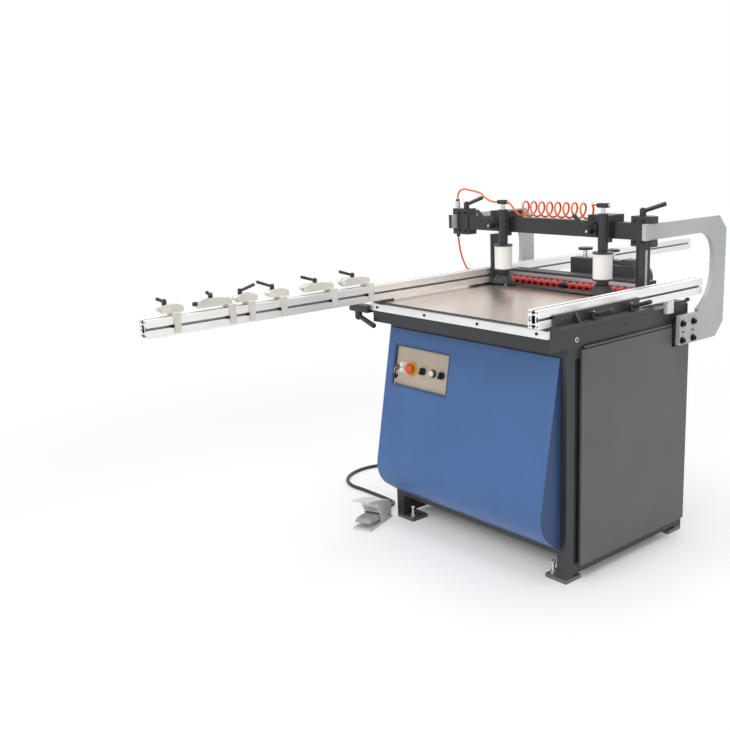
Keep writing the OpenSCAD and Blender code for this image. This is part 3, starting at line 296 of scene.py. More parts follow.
def plated(name, colour, rough):
    """Ground or plated steel with faint marks."""
    finish = Finish(name, Metallic=1.0)
    mark = finish.noise(scale=220, detail=3)
    cloud = finish.noise(scale=30)
    tone = finish.tones(cloud, colour, dark=0.9, pale=1.05)
    finish.set({"Base Color": tone, "Roughness": mark * 0.12 + (rough - 0.06)})
    finish.bump(mark, PLATED_MARKS)
    return finish.material


ANTHRACITE = paint("anthracite_paint", (0.034, 0.037, 0.039))
# Paler copy of the cabinet's paint for the foot plates: painted light from above.
FOOT_LIT_GREY = paint("foot_painted_light", (0.17, 0.173, 0.173), 0.45)
PANEL_GREY = paint("side_panel_paint", (0.116, 0.123, 0.124), 0.48)
APRON_DARK = paint("apron_paint", (0.042, 0.046, 0.049))
# Darker copy of the apron paint for the apron's front face: painted shade.
APRON_FRONT_SHADE = paint("apron_front_painted_shade", (0.025, 0.027, 0.029))
BLUE = paint("cover_blue", (0.053, 0.137, 0.345), 0.4)
# Darker copy of the cover blue for the cover's right end face: painted shade.
BLUE_END_SHADE = paint("cover_end_painted_shade", (0.026, 0.067, 0.172))
BLUE_INSIDE = paint("panel_frame_blue", (0.035, 0.075, 0.2), 0.45)
BEIGE = paint("panel_beige", (0.56, 0.47, 0.365), 0.5, peel=0.00002)
WHITE_PLATE = plastic("switch_plate_white", (0.78, 0.78, 0.76))
YELLOW_PLATE = plastic("ring_yellow", (0.80, 0.45, 0.03))
RED_PLASTIC = plastic("mushroom_red", (0.78, 0.085, 0.012), 0.3)
WHITE_PLASTIC = plastic("button_white", (0.82, 0.82, 0.80), 0.3)
BLACK_PLASTIC = plastic("lever_black", (0.016, 0.016, 0.017), 0.42)
BLACK_RUBBER = plastic("rubber_black", (0.02, 0.02, 0.021), 0.62, grain=0.00006)
TABLE_STEEL = brushed("table_steel", (0.77, 0.692, 0.623), ALONG_Y, 0.32, depth=0.00003, streak=0.08)
TABLE_EDGE = paint("table_edge_dark", (0.05, 0.052, 0.054), 0.4)
RAIL_ALU = brushed("rail_aluminium", (0.80, 0.81, 0.81), ALONG_X, 0.42)
FENCE_ALU = brushed("fence_aluminium", (0.90, 0.90, 0.89), ALONG_Y, 0.42)
# Less metallic copies of the fence aluminium, which render paler on the fences' tops and on the left
# fence's right side: painted light.
FENCE_TOP_LIT = brushed("fence_top_painted_light", (0.88, 0.875, 0.86), ALONG_Y, 0.45, metallic=0.5)
FENCE_SIDE_LIT = brushed("fence_side_painted_light", (0.86, 0.85, 0.835), ALONG_Y, 0.42, metallic=0.75)
# Dark copy of the fence aluminium for the faces inside the slots: painted shade.
FENCE_SLOT_SHADE = brushed("fence_slot_painted_shade", (0.36, 0.355, 0.35), ALONG_Y, 0.5)
FACE_ALU = brushed("plate_aluminium", (0.50, 0.50, 0.51), ALONG_X, 0.38)
ARM_GREY = paint("arm_grey", (0.53, 0.54, 0.54))
BEAM_BLACK = paint("beam_black", (0.024, 0.023, 0.026), 0.34, peel=0.00009)
HEAD_BLACK = cast("head_black", (0.024, 0.024, 0.027), 0.45)
BLOCK_GREY = paint("block_grey", (0.045, 0.048, 0.054))
CRADLE_GREY = paint("cradle_grey", (0.15, 0.16, 0.17), 0.45)
CREAM = cast("stop_cream", (0.76, 0.73, 0.665), 0.45)
WHITE_BARREL = paint("barrel_white", (0.88, 0.88, 0.87), 0.35)
STEEL = plated("ground_steel", (0.62, 0.62, 0.62), 0.22)
CHROME = plated("chrome", (0.78, 0.78, 0.79), 0.1)
ZINC = plated("zinc_plate", (0.66, 0.66, 0.62), 0.26)
BLACK_OXIDE = plated("black_oxide", (0.035, 0.035, 0.037), 0.36)
BRASS = plated("brass", (0.34, 0.26, 0.15), 0.3)
CHUCK_RED = paint("chuck_red", (0.52, 0.024, 0.015), 0.45)
CHUCK_BLACK = plated("chuck_black", (0.03, 0.03, 0.032), 0.3)
MOTOR_GREY = cast("motor_grey", (0.05, 0.053, 0.056), 0.45)
PEDAL_GREY = cast("pedal_grey", (0.74, 0.73, 0.70), 0.5)
TREADLE_GREY = cast("treadle_grey", (0.46, 0.455, 0.44), 0.5)
PIN_RED = plated("pin_red", (0.42, 0.10, 0.07), 0.35)
HOSE_ORANGE = plastic("hose_orange", (0.83, 0.15, 0.016), 0.26)
CABLE_BLACK = plastic("cable_black", (0.02, 0.02, 0.02), 0.5)


# Finishes of the solids, by the place of each face

HAIR = 0.1
FACING = 0.9


def finish_faces(mesh, base, *rules):
    """Gives a mesh its finish. A rule (finish, test) is for faces whose middle passes the test."""
    mesh.materials.clear()
    mesh.materials.append(base)
    for finish, _ in rules:
        mesh.materials.append(finish)
    for face in mesh.polygons:
        middle = face.center / MM
        face.material_index = 0
        for k, (_, test) in enumerate(rules, 1):
            if test(middle, face.normal):
                face.material_index = k


def dress(name, base, *rules):
    finish_faces(nodes[name].data, base, *rules)


FOOT_TOP = 14.1
APRON_LOW, APRON_TOP, APRON_FRONT_Y = 820.1, 880.0, -400
SIDE_FACE, PANEL_FACE, PANEL_TOP = 440, 450.2, 808.1
SPACER_Y, SPACER_Z = 229, 735
BUSH_X, BUSH_Y, BUSH_Z, BUSH_R = 428, -294, 844, 8.8
GLAND_TOP = 120


def on_apron(p, n):
    return APRON_LOW < p.z < APRON_TOP


def on_apron_front_shade(p, n):
    return on_apron(p, n) and n.y < -FACING and p.y < APRON_FRONT_Y


def on_side_panel(p, n):
    on_spacer = p.y > SPACER_Y and p.z > SPACER_Z
    return SIDE_FACE + HAIR < abs(p.x) < PANEL_FACE + HAIR and p.z < PANEL_TOP and not on_spacer


def on_bush(p, n):
    return abs(p.x) > BUSH_X and math.hypot(p.y - BUSH_Y, p.z - BUSH_Z) < BUSH_R + HAIR


def off_top(p, n):
    return n.z < 0.5


dress("cabinet_frame", ANTHRACITE,
      # The foot plates get the paler paint as painted light.
      (FOOT_LIT_GREY, lambda p, n: p.z < FOOT_TOP),
      (APRON_DARK, on_apron),
      # The apron's front face gets the darker paint as painted shade.
      (APRON_FRONT_SHADE, on_apron_front_shade),
      (PANEL_GREY, on_side_panel),
      (STEEL, on_bush),
      (BLACK_PLASTIC, lambda p, n: p.x < -PANEL_FACE - HAIR and p.z < GLAND_TOP))
# The cover's right end face gets the darker blue as painted shade.
dress("front_cover", BLUE, (BLUE_END_SHADE, lambda p, n: n.x > FACING and p.x > 0))
dress("work_table", TABLE_STEEL, (TABLE_EDGE, off_top))

RAIL_BACK, RAIL_HALF, RAIL_TOP = -424, 440.5, 895
CLAMP_BLOCK_X, CLAMP_BLOCK_TOP = -440.1, 890

dress("fence_rails", APRON_DARK,
      (RAIL_ALU, lambda p, n: p.y < RAIL_BACK and abs(p.x) < RAIL_HALF and p.z < RAIL_TOP),
      (BLACK_PLASTIC, lambda p, n: p.x < CLAMP_BLOCK_X and p.z < CLAMP_BLOCK_TOP))

FENCE_W, FENCE_H, FENCE_Z = 46, 58, 910
FENCE_MID = FENCE_Z + FENCE_H / 2
FENCES = {"left_fence": (-394, -1382, 1613), "right_fence": (437, -498, 397)}
SLOT_W, SLOT_IN_W, SLOT_LIP, SLOT_D = 8, 16, 4, 12
CORE_W, CORE_H, CORE_L = 14, 26, 40


def from_fence(p):
    """Distances of a point from the middle of the fence that it is on, across and up."""
    x = min((fence[0] for fence in FENCES.values()), key=lambda middle: abs(p.x - middle))
    return abs(p.x - x), abs(p.z - FENCE_MID)


# Tests for the faces inside the slots and the end hollows, which get dark finishes as painted shade.
def in_slot_shade(p, n):
    across, up = from_fence(p)
    return abs(n.y) < 0.5 and across < FENCE_W / 2 - HAIR and up < FENCE_H / 2 - HAIR


def in_core_shade(p, n):
    across, up = from_fence(p)
    return abs(n.y) < 0.5 and across < CORE_W / 2 + HAIR and up < CORE_H / 2 + HAIR


# The tops and the left fence's right side get the paler copies of the aluminium as painted light.
FENCE_RULES = ((FENCE_TOP_LIT, lambda p, n: n.z > FACING),
               (FENCE_SIDE_LIT, lambda p, n: n.x > FACING and p.x < 0),
               # Faces inside the slots and the end hollows get dark finishes as painted shade.
               (FENCE_SLOT_SHADE, in_slot_shade),
               (BLACK_OXIDE, in_core_shade))
dress("fence_profiles", FENCE_ALU, *FENCE_RULES)

ARM_TIP_Y, ARM_TIP_Z = 150, 1100
BRACKET_TOP, BRACKET_LOW = 1214.5, 1111.7
STRIP_Y, STRIP_Z = (179, 194), (925, 1081)
GUIDE_X, GUIDE_R, GUIDE_Y = 210, 11, (264, 449)
CRADLE_PIN_X = 348.6
CYLINDER_R, CYLINDER_Y = 15, 430
COLUMN_LOW, COLUMN_TOP, PISTON_Y = 868.1, 1039.9, 424.4
FACE_PLATE_Y, HEIGHT_BLOCK_Y = 222.4, 290.4

dress("side_arms", ARM_GREY,
      (BEAM_BLACK, lambda p, n: n.y < -FACING and p.x < 0 and p.y < ARM_TIP_Y and p.z > ARM_TIP_Z))
dress("clamp_beam", BEAM_BLACK,
      (STEEL, lambda p, n: p.z > BRACKET_TOP + HAIR),
      (STEEL, lambda p, n: p.z < BRACKET_LOW - HAIR))
dress("head_supports", HEAD_BLACK,
      (STEEL, lambda p, n: STRIP_Y[0] < p.y < STRIP_Y[1] and STRIP_Z[0] < p.z < STRIP_Z[1]))
dress("head_cradle", CRADLE_GREY,
      (STEEL, lambda p, n: abs(abs(p.x) - GUIDE_X) < GUIDE_R and GUIDE_Y[0] < p.y < GUIDE_Y[1]),
      (STEEL, lambda p, n: abs(p.x) > CRADLE_PIN_X),
      (FACE_ALU, lambda p, n: abs(p.x) < CYLINDER_R and p.y > CYLINDER_Y))
dress("feed_slide", CRADLE_GREY,
      (CHROME, lambda p, n: COLUMN_LOW < p.z < COLUMN_TOP),
      (BLACK_PLASTIC, lambda p, n: p.z > COLUMN_TOP),
      (CHROME, lambda p, n: p.y > PISTON_Y))
dress("gear_housing", HEAD_BLACK,
      (FACE_ALU, lambda p, n: p.y < FACE_PLATE_Y),
      (BLOCK_GREY, lambda p, n: p.y > HEIGHT_BLOCK_Y))
for name, finish in (("motor", MOTOR_GREY), ("main_switch", CHROME), ("emergency_stop", RED_PLASTIC),
                     ("start_button", WHITE_PLASTIC), ("selector_left", BLACK_PLASTIC),
                     ("selector_right", BLACK_PLASTIC), ("pedal_base", PEDAL_GREY),
                     ("pedal_treadle", TREADLE_GREY)):
    dress(name, finish)

UP, DOWN, FORWARD = (0, 0, 1), (0, 0, -1), (0, -1, 0)
SIDES = (-1, 1)
LEFT_HOLD, RIGHT_HOLD, HOLD_Y = -183, 294, 26
LEVER_TOP, CLAMP_LEVER_TOP = 27, 33.7
LEVERS = {"fence_lever_front": ((484.2, -262, 910.2), UP, LEVER_TOP),
          "fence_lever_rear": ((484.2, -61, 910.2), UP, LEVER_TOP),
          "clamp_lever": ((-512, -440.2, 854.8), DOWN, CLAMP_LEVER_TOP),
          "beam_lever_left": ((-427, 70, BRACKET_TOP), UP, LEVER_TOP),
          "beam_lever_right": ((427, 70, BRACKET_TOP), UP, LEVER_TOP),
          "carriage_lever_left": ((LEFT_HOLD - 45, 17.5, 1159), FORWARD, LEVER_TOP),
          "carriage_lever_right": ((RIGHT_HOLD - 45, 17.5, 1159), FORWARD, LEVER_TOP)}
PRESSER_ROD_LOW = 984.1
BARREL_LOW, BARREL_TOP = 993.4, 1081.2
TEE_STEM_LOW, TEE_STEM_TOP = 1220.4, 1240.2


def on_barrel(p, n):
    return BARREL_LOW < p.z < BARREL_TOP and math.hypot(n.x, n.y) > 0.5


for lever in LEVERS:
    dress(lever, BLACK_PLASTIC)
for side in ("left", "right"):
    dress("presser_" + side, BLACK_RUBBER, (CHROME, lambda p, n: p.z > PRESSER_ROD_LOW))
    dress("carriage_" + side, BEAM_BLACK,
          (WHITE_BARREL, on_barrel),
          (STEEL, lambda p, n: TEE_STEM_LOW < p.z < TEE_STEM_TOP))

STOP_YS = (-1276, -1075, -1000, -873, -657, -489)
STOP_LEVER_LOW, STOP_NOSE_TOP, STOP_NOSE_L = 1007.4, 1005, 10
RUBBER_STOP = 2

for k in range(1, len(STOP_YS) + 1):
    stop_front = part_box("stop_%d" % k)[0].y / MM
    dress("stop_%d" % k, CREAM,
          (BLACK_PLASTIC, lambda p, n: p.z > STOP_LEVER_LOW),
          (BLACK_RUBBER if k == RUBBER_STOP else ZINC,
           lambda p, n, nose=stop_front + STOP_NOSE_L: p.y < nose and p.z < STOP_NOSE_TOP))

SPINDLES = 21
PITCH = 32
NOSE_Y, SPINDLE_Z = 152, 926
SHANK_R = 5
SLEEVE_BACK, COLLAR_BACK = 195.9, 208.1


def spindle(k):
    return "spindle_%02d" % (k + 1)


def spindle_x(k):
    return (k - SPINDLES // 2) * PITCH


def on_sleeve(k):
    """Test for the faces of a chuck's sleeve, outside its bore."""
    def test(p, n):
        out = math.hypot(p.x - spindle_x(k), p.z - SPINDLE_Z)
        return p.y < SLEEVE_BACK and out > SHANK_R + HAIR
    return test


for k in range(SPINDLES):
    dress(spindle(k), CHUCK_BLACK,
          (CHUCK_BLACK if k == SPINDLES // 2 else CHUCK_RED, on_sleeve(k)),
          (STEEL, lambda p, n: p.y > COLLAR_BACK))


# Control panel, in its own leaning frame: X along it, Y into it, Z up it

LEAN = math.atan2(107, 589)
PANEL_CORNER = Vector((-399, -345, 787))
PANEL_DOWN = 221
RECESS = 12
ROW_Z = 76
PLATE_LOW, PLATE_TOP = 8.5, 154
PLATES = ((WHITE_PLATE, 8.5, 72), (YELLOW_PLATE, 72, 140), (BLACK_PLASTIC, 140, 303))


def panel_matrix():
    """From the panel's frame in millimetres to metres."""
    turn = Matrix.Rotation(-LEAN, 4, "X")
    return (Matrix.Scale(MM, 4) @ Matrix.Translation(PANEL_CORNER) @ turn
            @ Matrix.Translation((0, 0, -PANEL_DOWN)))


PANEL = panel_matrix()
PANEL_BACK = PANEL.inverted()


def on_panel_face(p, n):
    return abs((PANEL_BACK @ (p * MM)).y - RECESS) < HAIR


def on_plate(left, right):
    """Test for the plates under the controls between two places along the panel."""
    def test(p, n):
        q = PANEL_BACK @ (p * MM)
        return q.y < RECESS - HAIR and left <= q.x < right and PLATE_LOW < q.z < PLATE_TOP
    return test


dress("control_panel", BLUE_INSIDE, (BEIGE, on_panel_face),
      *[(finish, on_plate(left, right)) for finish, left, right in PLATES])


# Cable and hoses

TUBE_SMOOTH = math.radians(40)


def deselect():
    bpy.ops.object.select_all(action="DESELECT")


def alone(piece):
    """Leaves one piece selected and active."""
    deselect()
    piece.select_set(True)
    bpy.context.view_layer.objects.active = piece


def smooth_route(points, steps):
    """Points along a smooth curve through the points."""
    line = []
    last = len(points) - 1
    for k in range(last):
        a, b, c, d = (points[max(k - 1, 0)], points[k], points[k + 1], points[min(k + 2, last)])
        for s in range(steps):
            t = s / steps
            line.append(0.5 * (2 * b + (c - a) * t + (2 * a - 5 * b + 4 * c - d) * t ** 2
                               + (3 * b - a - 3 * c + d) * t ** 3))
    line.append(points[last])
    return line


def to_metres(rows):
    return [Vector(row) * MM for row in rows]


def steps_from(start, steps):
    return [start + Vector(step) for step in steps]


def add_tube(name, line, radius, finish, sides=4):
    """A curve of one open spline with a round section, in metres."""
    data = bpy.data.curves.new(name, "CURVE")
    data.dimensions = "3D"
    data.bevel_depth = radius
    data.bevel_resolution = sides
    data.use_fill_caps = True
    spline = data.splines.new("POLY")
    spline.points.add(len(line) - 1)
    for point, place in zip(spline.points, line):
        point.co = (*place, 1)
    tube = bpy.data.objects.new(name, data)
    data.materials.append(finish)
    scene.collection.objects.link(tube)
    return tube


def to_mesh(piece):
    """Makes a curve a mesh, with smooth sides."""
    alone(piece)
    bpy.ops.object.convert(target="MESH")
    bpy.ops.object.shade_smooth_by_angle(angle=TUBE_SMOOTH)
    return bpy.context.view_layer.objects.active


PEDAL_AT = Vector((-459, -455, 0))
PEDAL_TURN = math.radians(21)
PEDAL_BACK, PEDAL_SEAT = 89, 7
CABLE_R = 8
CABLE_STEPS = 6
END_GAP = 0.3
SKIN = 0.3
GLAND = Vector((-PANEL_FACE, 150, 90))


def pedal_point(x, y, z):
    """A point of the pedal's own frame."""
    return PEDAL_AT + Matrix.Rotation(PEDAL_TURN, 3, "Z") @ Vector((x, y, z))


def cable_route():
    """Points from the gland down to the floor, in a loose bow over it and up into the pedal."""
    fall = steps_from(GLAND, (
        (-END_GAP, 0, 0), (-12, 0, 0), (-24, 0, 0), (-36, 0, 0), (-72, -2, -14), (-112, -6, -44),
        (-160, -14, -70)))
    bow = [Vector((x, y, CABLE_R)) for x, y in (
        (-662, 126), (-740, 106), (-820, 84), (-890, 56), (-942, 18), (-970, -30), (-980, -86),
        (-972, -145), (-946, -200), (-900, -244), (-836, -266), (-766, -263), (-690, -262),
        (-630, -262), (-587, -264))]
    rise = [Vector((-543, -277, CABLE_R + 3))] + [
        pedal_point(0, PEDAL_BACK + y, CABLE_R + z)
        for y, z in ((65, 10), (30, 18), (10, 20), (-PEDAL_SEAT + END_GAP, 20))]
    return fall + bow + rise


CABLE_LINE = to_metres(smooth_route(cable_route(), CABLE_STEPS))


def add_cable():
    cable = add_tube("pedal_lead", CABLE_LINE, (CABLE_R - SKIN) * MM, CABLE_BLACK)
    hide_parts("pedal_cable")
    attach(cable, "machine")


add_cable()

HOSE_R = 4
HOSE_STEPS, WAY_STEPS = 5, 4
HOSE_START = Vector((-470, 63, 1242.3))
TEE_Z = 1248.3
TEE_W = 17
HOSE_END = Vector((LEFT_HOLD - TEE_W, HOLD_Y, TEE_Z))
CURL_X = (LEFT_HOLD + 58, RIGHT_HOLD - 104)
CURL_Y = 70
CURL_R = 27
CURL_Z = 1223
CURLS = 8
CURL_STEPS = 24
SUPPLY_START = Vector((-470, 63, 1109.7))
SUPPLY_END = Vector((-430, 170, 896))


def curl_line():
    """Curly hose from the left tee to the right one."""
    left = Vector((LEFT_HOLD + TEE_W + END_GAP, HOLD_Y, TEE_Z))
    right = Vector((RIGHT_HOLD - TEE_W - END_GAP, HOLD_Y, TEE_Z))
    straight = Vector((8, 0, 0))
    x0, x1 = CURL_X
    steps = CURLS * CURL_STEPS
    turns = []
    for i in range(steps + 1):
        t = i / steps
        a = 2 * math.pi * CURLS * t
        turns.append(Vector((x0 + (x1 - x0) * t, CURL_Y + CURL_R * math.sin(a),
                             CURL_Z - CURL_R * math.cos(a))))
    way_in = [left, left + straight,
              Vector((x0 - 20, CURL_Y - 38, CURL_Z + 14)),
              Vector((x0 - 10, CURL_Y - 28, CURL_Z - 6)),
              Vector((x0 - 4, CURL_Y - 14, CURL_Z - 23)), turns[0]]
    way_out = [turns[-1],
               Vector((x1 + 8, CURL_Y + 10, CURL_Z - 22)),
               Vector((x1 + 20, CURL_Y + 8, CURL_Z - 4)),
               Vector((x1 + 34, CURL_Y - 12, TEE_Z - 6)),
               Vector((x1 + 48, CURL_Y - 34, TEE_Z)), right - straight, right]
    return smooth_route(way_in, WAY_STEPS)[:-1] + turns + smooth_route(way_out, WAY_STEPS)[1:]


def add_hose(name, line, start, end):
    """A hose mesh along a line, in place of the solid air hose."""
    hose = to_mesh(add_tube(name, to_metres(line), (HOSE_R - SKIN) * MM, HOSE_ORANGE, 3))
    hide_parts("air_hose")
    tuple(start * MM)
    tuple(end * MM)
    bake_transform(hose)


def add_hoses():
    rise = (steps_from(HOSE_START, ((0, 0, END_GAP), (0, 0, 8), (0, 0, 16), (5, -1, 30),
                                    (20, -4, 43), (46, -10, 50), (80, -18, 48)))
            + steps_from(HOSE_END, ((-120, 12, 32), (-84, 6, 15), (-56, 2, 4), (-32, 0, 0),
                                    (-16, 0, 0), (-END_GAP, 0, 0))))
    add_hose("rising_hose", smooth_route(rise, HOSE_STEPS),
             HOSE_START, HOSE_END)
    line = curl_line()
    middle = len(line) // 2
    centre = line[middle]
    add_hose("curly_hose_left", line[:middle + 1], centre, line[0])
    add_hose("curly_hose_right", line[middle:], centre, line[-1])
    supply = (steps_from(SUPPLY_START, ((0, 0, -END_GAP), (0, 0, -10), (0, 0, -20), (0, 4, -44),
                                        (1, 10, -76), (5, 20, -110), (12, 35, -145)))
              + steps_from(SUPPLY_END, ((-21, -54, 62), (-8, -20, 40), (0, 0, 22), (0, 0, 11),
                                        (0, 0, END_GAP))))
    add_hose("supply_hose", smooth_route(supply, HOSE_STEPS),
             SUPPLY_END, SUPPLY_START)


add_hoses()


# Modelling

ROUND_OVER = math.radians(35)
PIECE_SMOOTH = math.radians(35)


def settle(piece):
    """Puts a piece's place, turn and size into its mesh."""
    alone(piece)
    bpy.ops.object.transform_apply(location=True, rotation=True, scale=True)


def apply_modifier(piece, kind, **settings):
    modifier = piece.modifiers.new(kind.lower(), kind)
    for key, value in settings.items():
        setattr(modifier, key, value)
    alone(piece)
    bpy.ops.object.modifier_apply(modifier=modifier.name)


def round_edges(piece, width):
    apply_modifier(piece, "BEVEL", width=width * MM, segments=2, limit_method="ANGLE",
                   angle_limit=ROUND_OVER)


def block(low, high, edge=0.0):
    """A box between two corners, with rounded edges."""
    a, b = Vector(low) * MM, Vector(high) * MM
    deselect()
    bpy.ops.mesh.primitive_cube_add(size=1, location=(a + b) / 2)
    piece = bpy.context.object
    piece.scale = b - a
    settle(piece)
    if edge:
        round_edges(piece, edge)
    return piece


def rod(start, end, radius, sides=32, edge=0.0):
    """A bar with a round or many-sided section between two points."""
    a, b = Vector(start) * MM, Vector(end) * MM
    deselect()
    bpy.ops.mesh.primitive_cylinder_add(vertices=sides, radius=radius * MM, depth=(b - a).length,
                                        location=(a + b) / 2)
    piece = bpy.context.object
    piece.rotation_mode = "QUATERNION"
    piece.rotation_quaternion = (b - a).to_track_quat("Z", "Y")
    settle(piece)
    if edge:
        round_edges(piece, edge)
    return piece


def hoop(centre, radius, thickness, turn):
    """A round ring."""
    deselect()
    bpy.ops.mesh.primitive_torus_add(major_radius=radius * MM, minor_radius=thickness * MM,
                                     major_segments=32, minor_segments=10,
                                     location=Vector(centre) * MM, rotation=turn)
    piece = bpy.context.object
    settle(piece)
    return piece


def pick_faces(piece, test):
    """Goes into edit mode with the faces whose middle and normal pass the test."""
    mesh = piece.data
    for part in (mesh.vertices, mesh.edges, mesh.polygons):
        part.foreach_set("select", [False] * len(part))
    for face in mesh.polygons:
        face.select = bool(test(face.center / MM, face.normal))
    alone(piece)
    scene.tool_settings.mesh_select_mode = (False, False, True)
    bpy.ops.object.mode_set(mode="EDIT")


def leave():
    bpy.ops.object.mode_set(mode="OBJECT")


def draw_out(step):
    """Extrudes what is picked by a step."""
    bpy.ops.mesh.extrude_region_move(TRANSFORM_OT_translate={"value": Vector(step) * MM})


def cut(piece, tool):
    """Cuts a tool's shape out of a piece."""
    apply_modifier(piece, "BOOLEAN", object=tool, operation="DIFFERENCE", solver="EXACT")
    bpy.data.objects.remove(tool)
    return piece


def join(*pieces):
    alone(pieces[0])
    for piece in pieces:
        piece.select_set(True)
    bpy.ops.object.join()
    return bpy.context.object


def tint(piece, finish):
    piece.data.materials.clear()
    piece.data.materials.append(finish)
    return piece


def at(place, facing=UP, spin=0.0):
    """From a model on Z to its place, facing a direction."""
    turn = Vector(facing).to_track_quat("Z", "Y").to_matrix().to_4x4()
    return Matrix.Translation(Vector(place) * MM) @ turn @ Matrix.Rotation(spin, 4, "Z")


def copy_at(model, place):
    """A copy of a model with its own mesh, at its place."""
    copy = model.copy()
    copy.data = model.data.copy()
    copy.data.transform(place)
    scene.collection.objects.link(copy)
    return copy


def spread(model, places):
    """Copies of a model at its places, joined."""
    made = [copy_at(model, place) for place in places]
    bpy.data.objects.remove(model)
    return join(*made)


def mount(piece, name, body):
    """Names a finished piece, smooths its round sides and puts it on its body."""
    piece.name = name
    piece.data.name = name
    alone(piece)
    bpy.ops.object.shade_smooth_by_angle(angle=PIECE_SMOOTH)
    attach(piece, body)
    return piece


# Fasteners

WASHER_H = 2
SCREW_EDGE, SOCKET_FLOOR, SOCKET_R = 0.12, 0.4, 0.56
THREAD_ROOT = 0.88


def cap_screw(radius, height, finish, washer=0.0):
    """Socket screw on Z, on an optional washer of its own radius."""
    base = WASHER_H if washer else 0
    screw = rod((0, 0, base), (0, 0, base + height), radius, edge=SCREW_EDGE * radius)
    cut(screw, rod((0, 0, base + SOCKET_FLOOR * height), (0, 0, base + 2 * height),
                   SOCKET_R * radius, 6))
    tint(screw, finish)
    if not washer:
        return screw
    return join(screw, tint(rod((0, 0, 0), (0, 0, base), washer, edge=0.4), finish))


def hexagon(low, high, radius, finish):
    """Hexagon on Z with its corners turned off."""
    return tint(rod((0, 0, low), (0, 0, high), radius, 6, edge=0.8), finish)


def thread(low, high, radius, pitch, finish):
    """Threaded stud on Z: a disc drawn up in steps that go in and out."""
    half = pitch / 2
    stud = rod((0, 0, low), (0, 0, low + half), radius, 20)
    pick_faces(stud, lambda middle, normal: normal.z > FACING)
    for k in range(2 * int((high - low) / pitch)):
        draw_out((0, 0, half))
        factor = 1 / THREAD_ROOT if k % 2 else THREAD_ROOT
        bpy.ops.transform.resize(value=(factor, factor, 1))
    leave()
    return tint(stud, finish)


BOLT_PLACES = [(x, y, 0) for x in (-368, 368) for y in (-320, 320)]
BOLT_SPIN = 0.4


def add_levelling_bolts():
    """A stud with a nut and a hexagon head at the outer edge of each foot plate."""
    washer_top = FOOT_TOP + WASHER_H
    bolt = join(thread(low=3, high=54, radius=5.5, pitch=1.75, finish=ZINC),
                hexagon(low=52, high=60, radius=9.5, finish=ZINC),
                hexagon(low=washer_top, high=25, radius=11, finish=ZINC),
                tint(rod((0, 0, FOOT_TOP), (0, 0, washer_top), 13, edge=0.4), ZINC))
    places = [at(place, spin=BOLT_SPIN) for place in BOLT_PLACES]
    mount(spread(bolt, places), "levelling_bolts", "machine")


ARM_FACE, ARM_SCREW_YS, ARM_SCREW_ZS = 478, (250, 318), (760, 821)
RAIL_FACE, RAIL_SCREW_Z, RAIL_SCREW_PITCH, RAIL_SCREWS = -439.2, 880, 265, 4
PLATE_FACE, PLATE_SCREW_X, PLATE_SCREW_Z = 208.3, 329, 922
BRACKET_FACE, BRACKET_SCREW_XS, BRACKET_SCREW_ZS = 46, (411, 444), (1127, 1199)


def add_side_bolts():
    """Screws of the arms, the front rail, the face plate and the brackets."""
    arm = [at((side * ARM_FACE, y, z), (side, 0, 0))
           for side in SIDES for y in ARM_SCREW_YS for z in ARM_SCREW_ZS]
    mount(spread(cap_screw(9, 10, BLACK_OXIDE, washer=13), arm), "arm_screws", "machine")
    rail = [at(((k - (RAIL_SCREWS - 1) / 2) * RAIL_SCREW_PITCH, RAIL_FACE, RAIL_SCREW_Z), FORWARD)
            for k in range(RAIL_SCREWS)]
    mount(spread(cap_screw(5, 3, BLACK_OXIDE), rail), "rail_screws", "machine")
    face = [at((side * PLATE_SCREW_X, PLATE_FACE, PLATE_SCREW_Z), FORWARD) for side in SIDES]
    mount(spread(cap_screw(4.5, 4, ZINC), face), "face_plate_screws", "head")
    bracket = [at((side * x, BRACKET_FACE, z), FORWARD)
               for side in SIDES for x in BRACKET_SCREW_XS for z in BRACKET_SCREW_ZS]
    mount(spread(cap_screw(5, 4, BLACK_OXIDE), bracket), "bracket_screws", "beam")


def add_lever_screws():
    """Bright screw in the hub of each clamp lever."""
    for body, (place, facing, top) in LEVERS.items():
        end = Vector(place) + top * Vector(facing)
        mount(spread(cap_screw(4.2, 1.6, ZINC), [at(end, facing)]), body + "_screw", body)


STOP_SCREW_X = FENCES["left_fence"][0] + FENCE_W / 2 + 0.3
STOP_SCREW_AHEAD = 19


def add_stop_screws():
    """Dark clamping screw of each stop in the fence's slot."""
    for k, y in enumerate(STOP_YS, 1):
        place = at((STOP_SCREW_X, y - STOP_SCREW_AHEAD, FENCE_MID), (1, 0, 0))
        mount(spread(cap_screw(5.5, 5, BLACK_OXIDE), [place]), "stop_%d_screw" % k, "stop_%d" % k)


# Control panel fittings, modelled in the panel's frame

SWITCH_X, START_X, SELECTOR_XS = 51, 218, (163, 266)
RING_Y = -25
SPARE_Z = ROW_Z - 33
PANEL_SCREW_XS, PANEL_SCREW_ZS = (16, 296), (16, 147)


def on_panel(piece, name, body):
    piece.data.transform(Matrix.Scale(1 / MM, 4))
    piece.data.transform(PANEL)
    return mount(piece, name, body)


def key_bow(y, z, radius, half, edge, hole_z, hole_r):
    """Round flat bow of a key across X, with a hole for the ring."""
    bow = rod((SWITCH_X - half, y, z), (SWITCH_X + half, y, z), radius, edge=edge)
    return cut(bow, rod((SWITCH_X - 3, RING_Y, hole_z), (SWITCH_X + 3, RING_Y, hole_z), hole_r, 20))


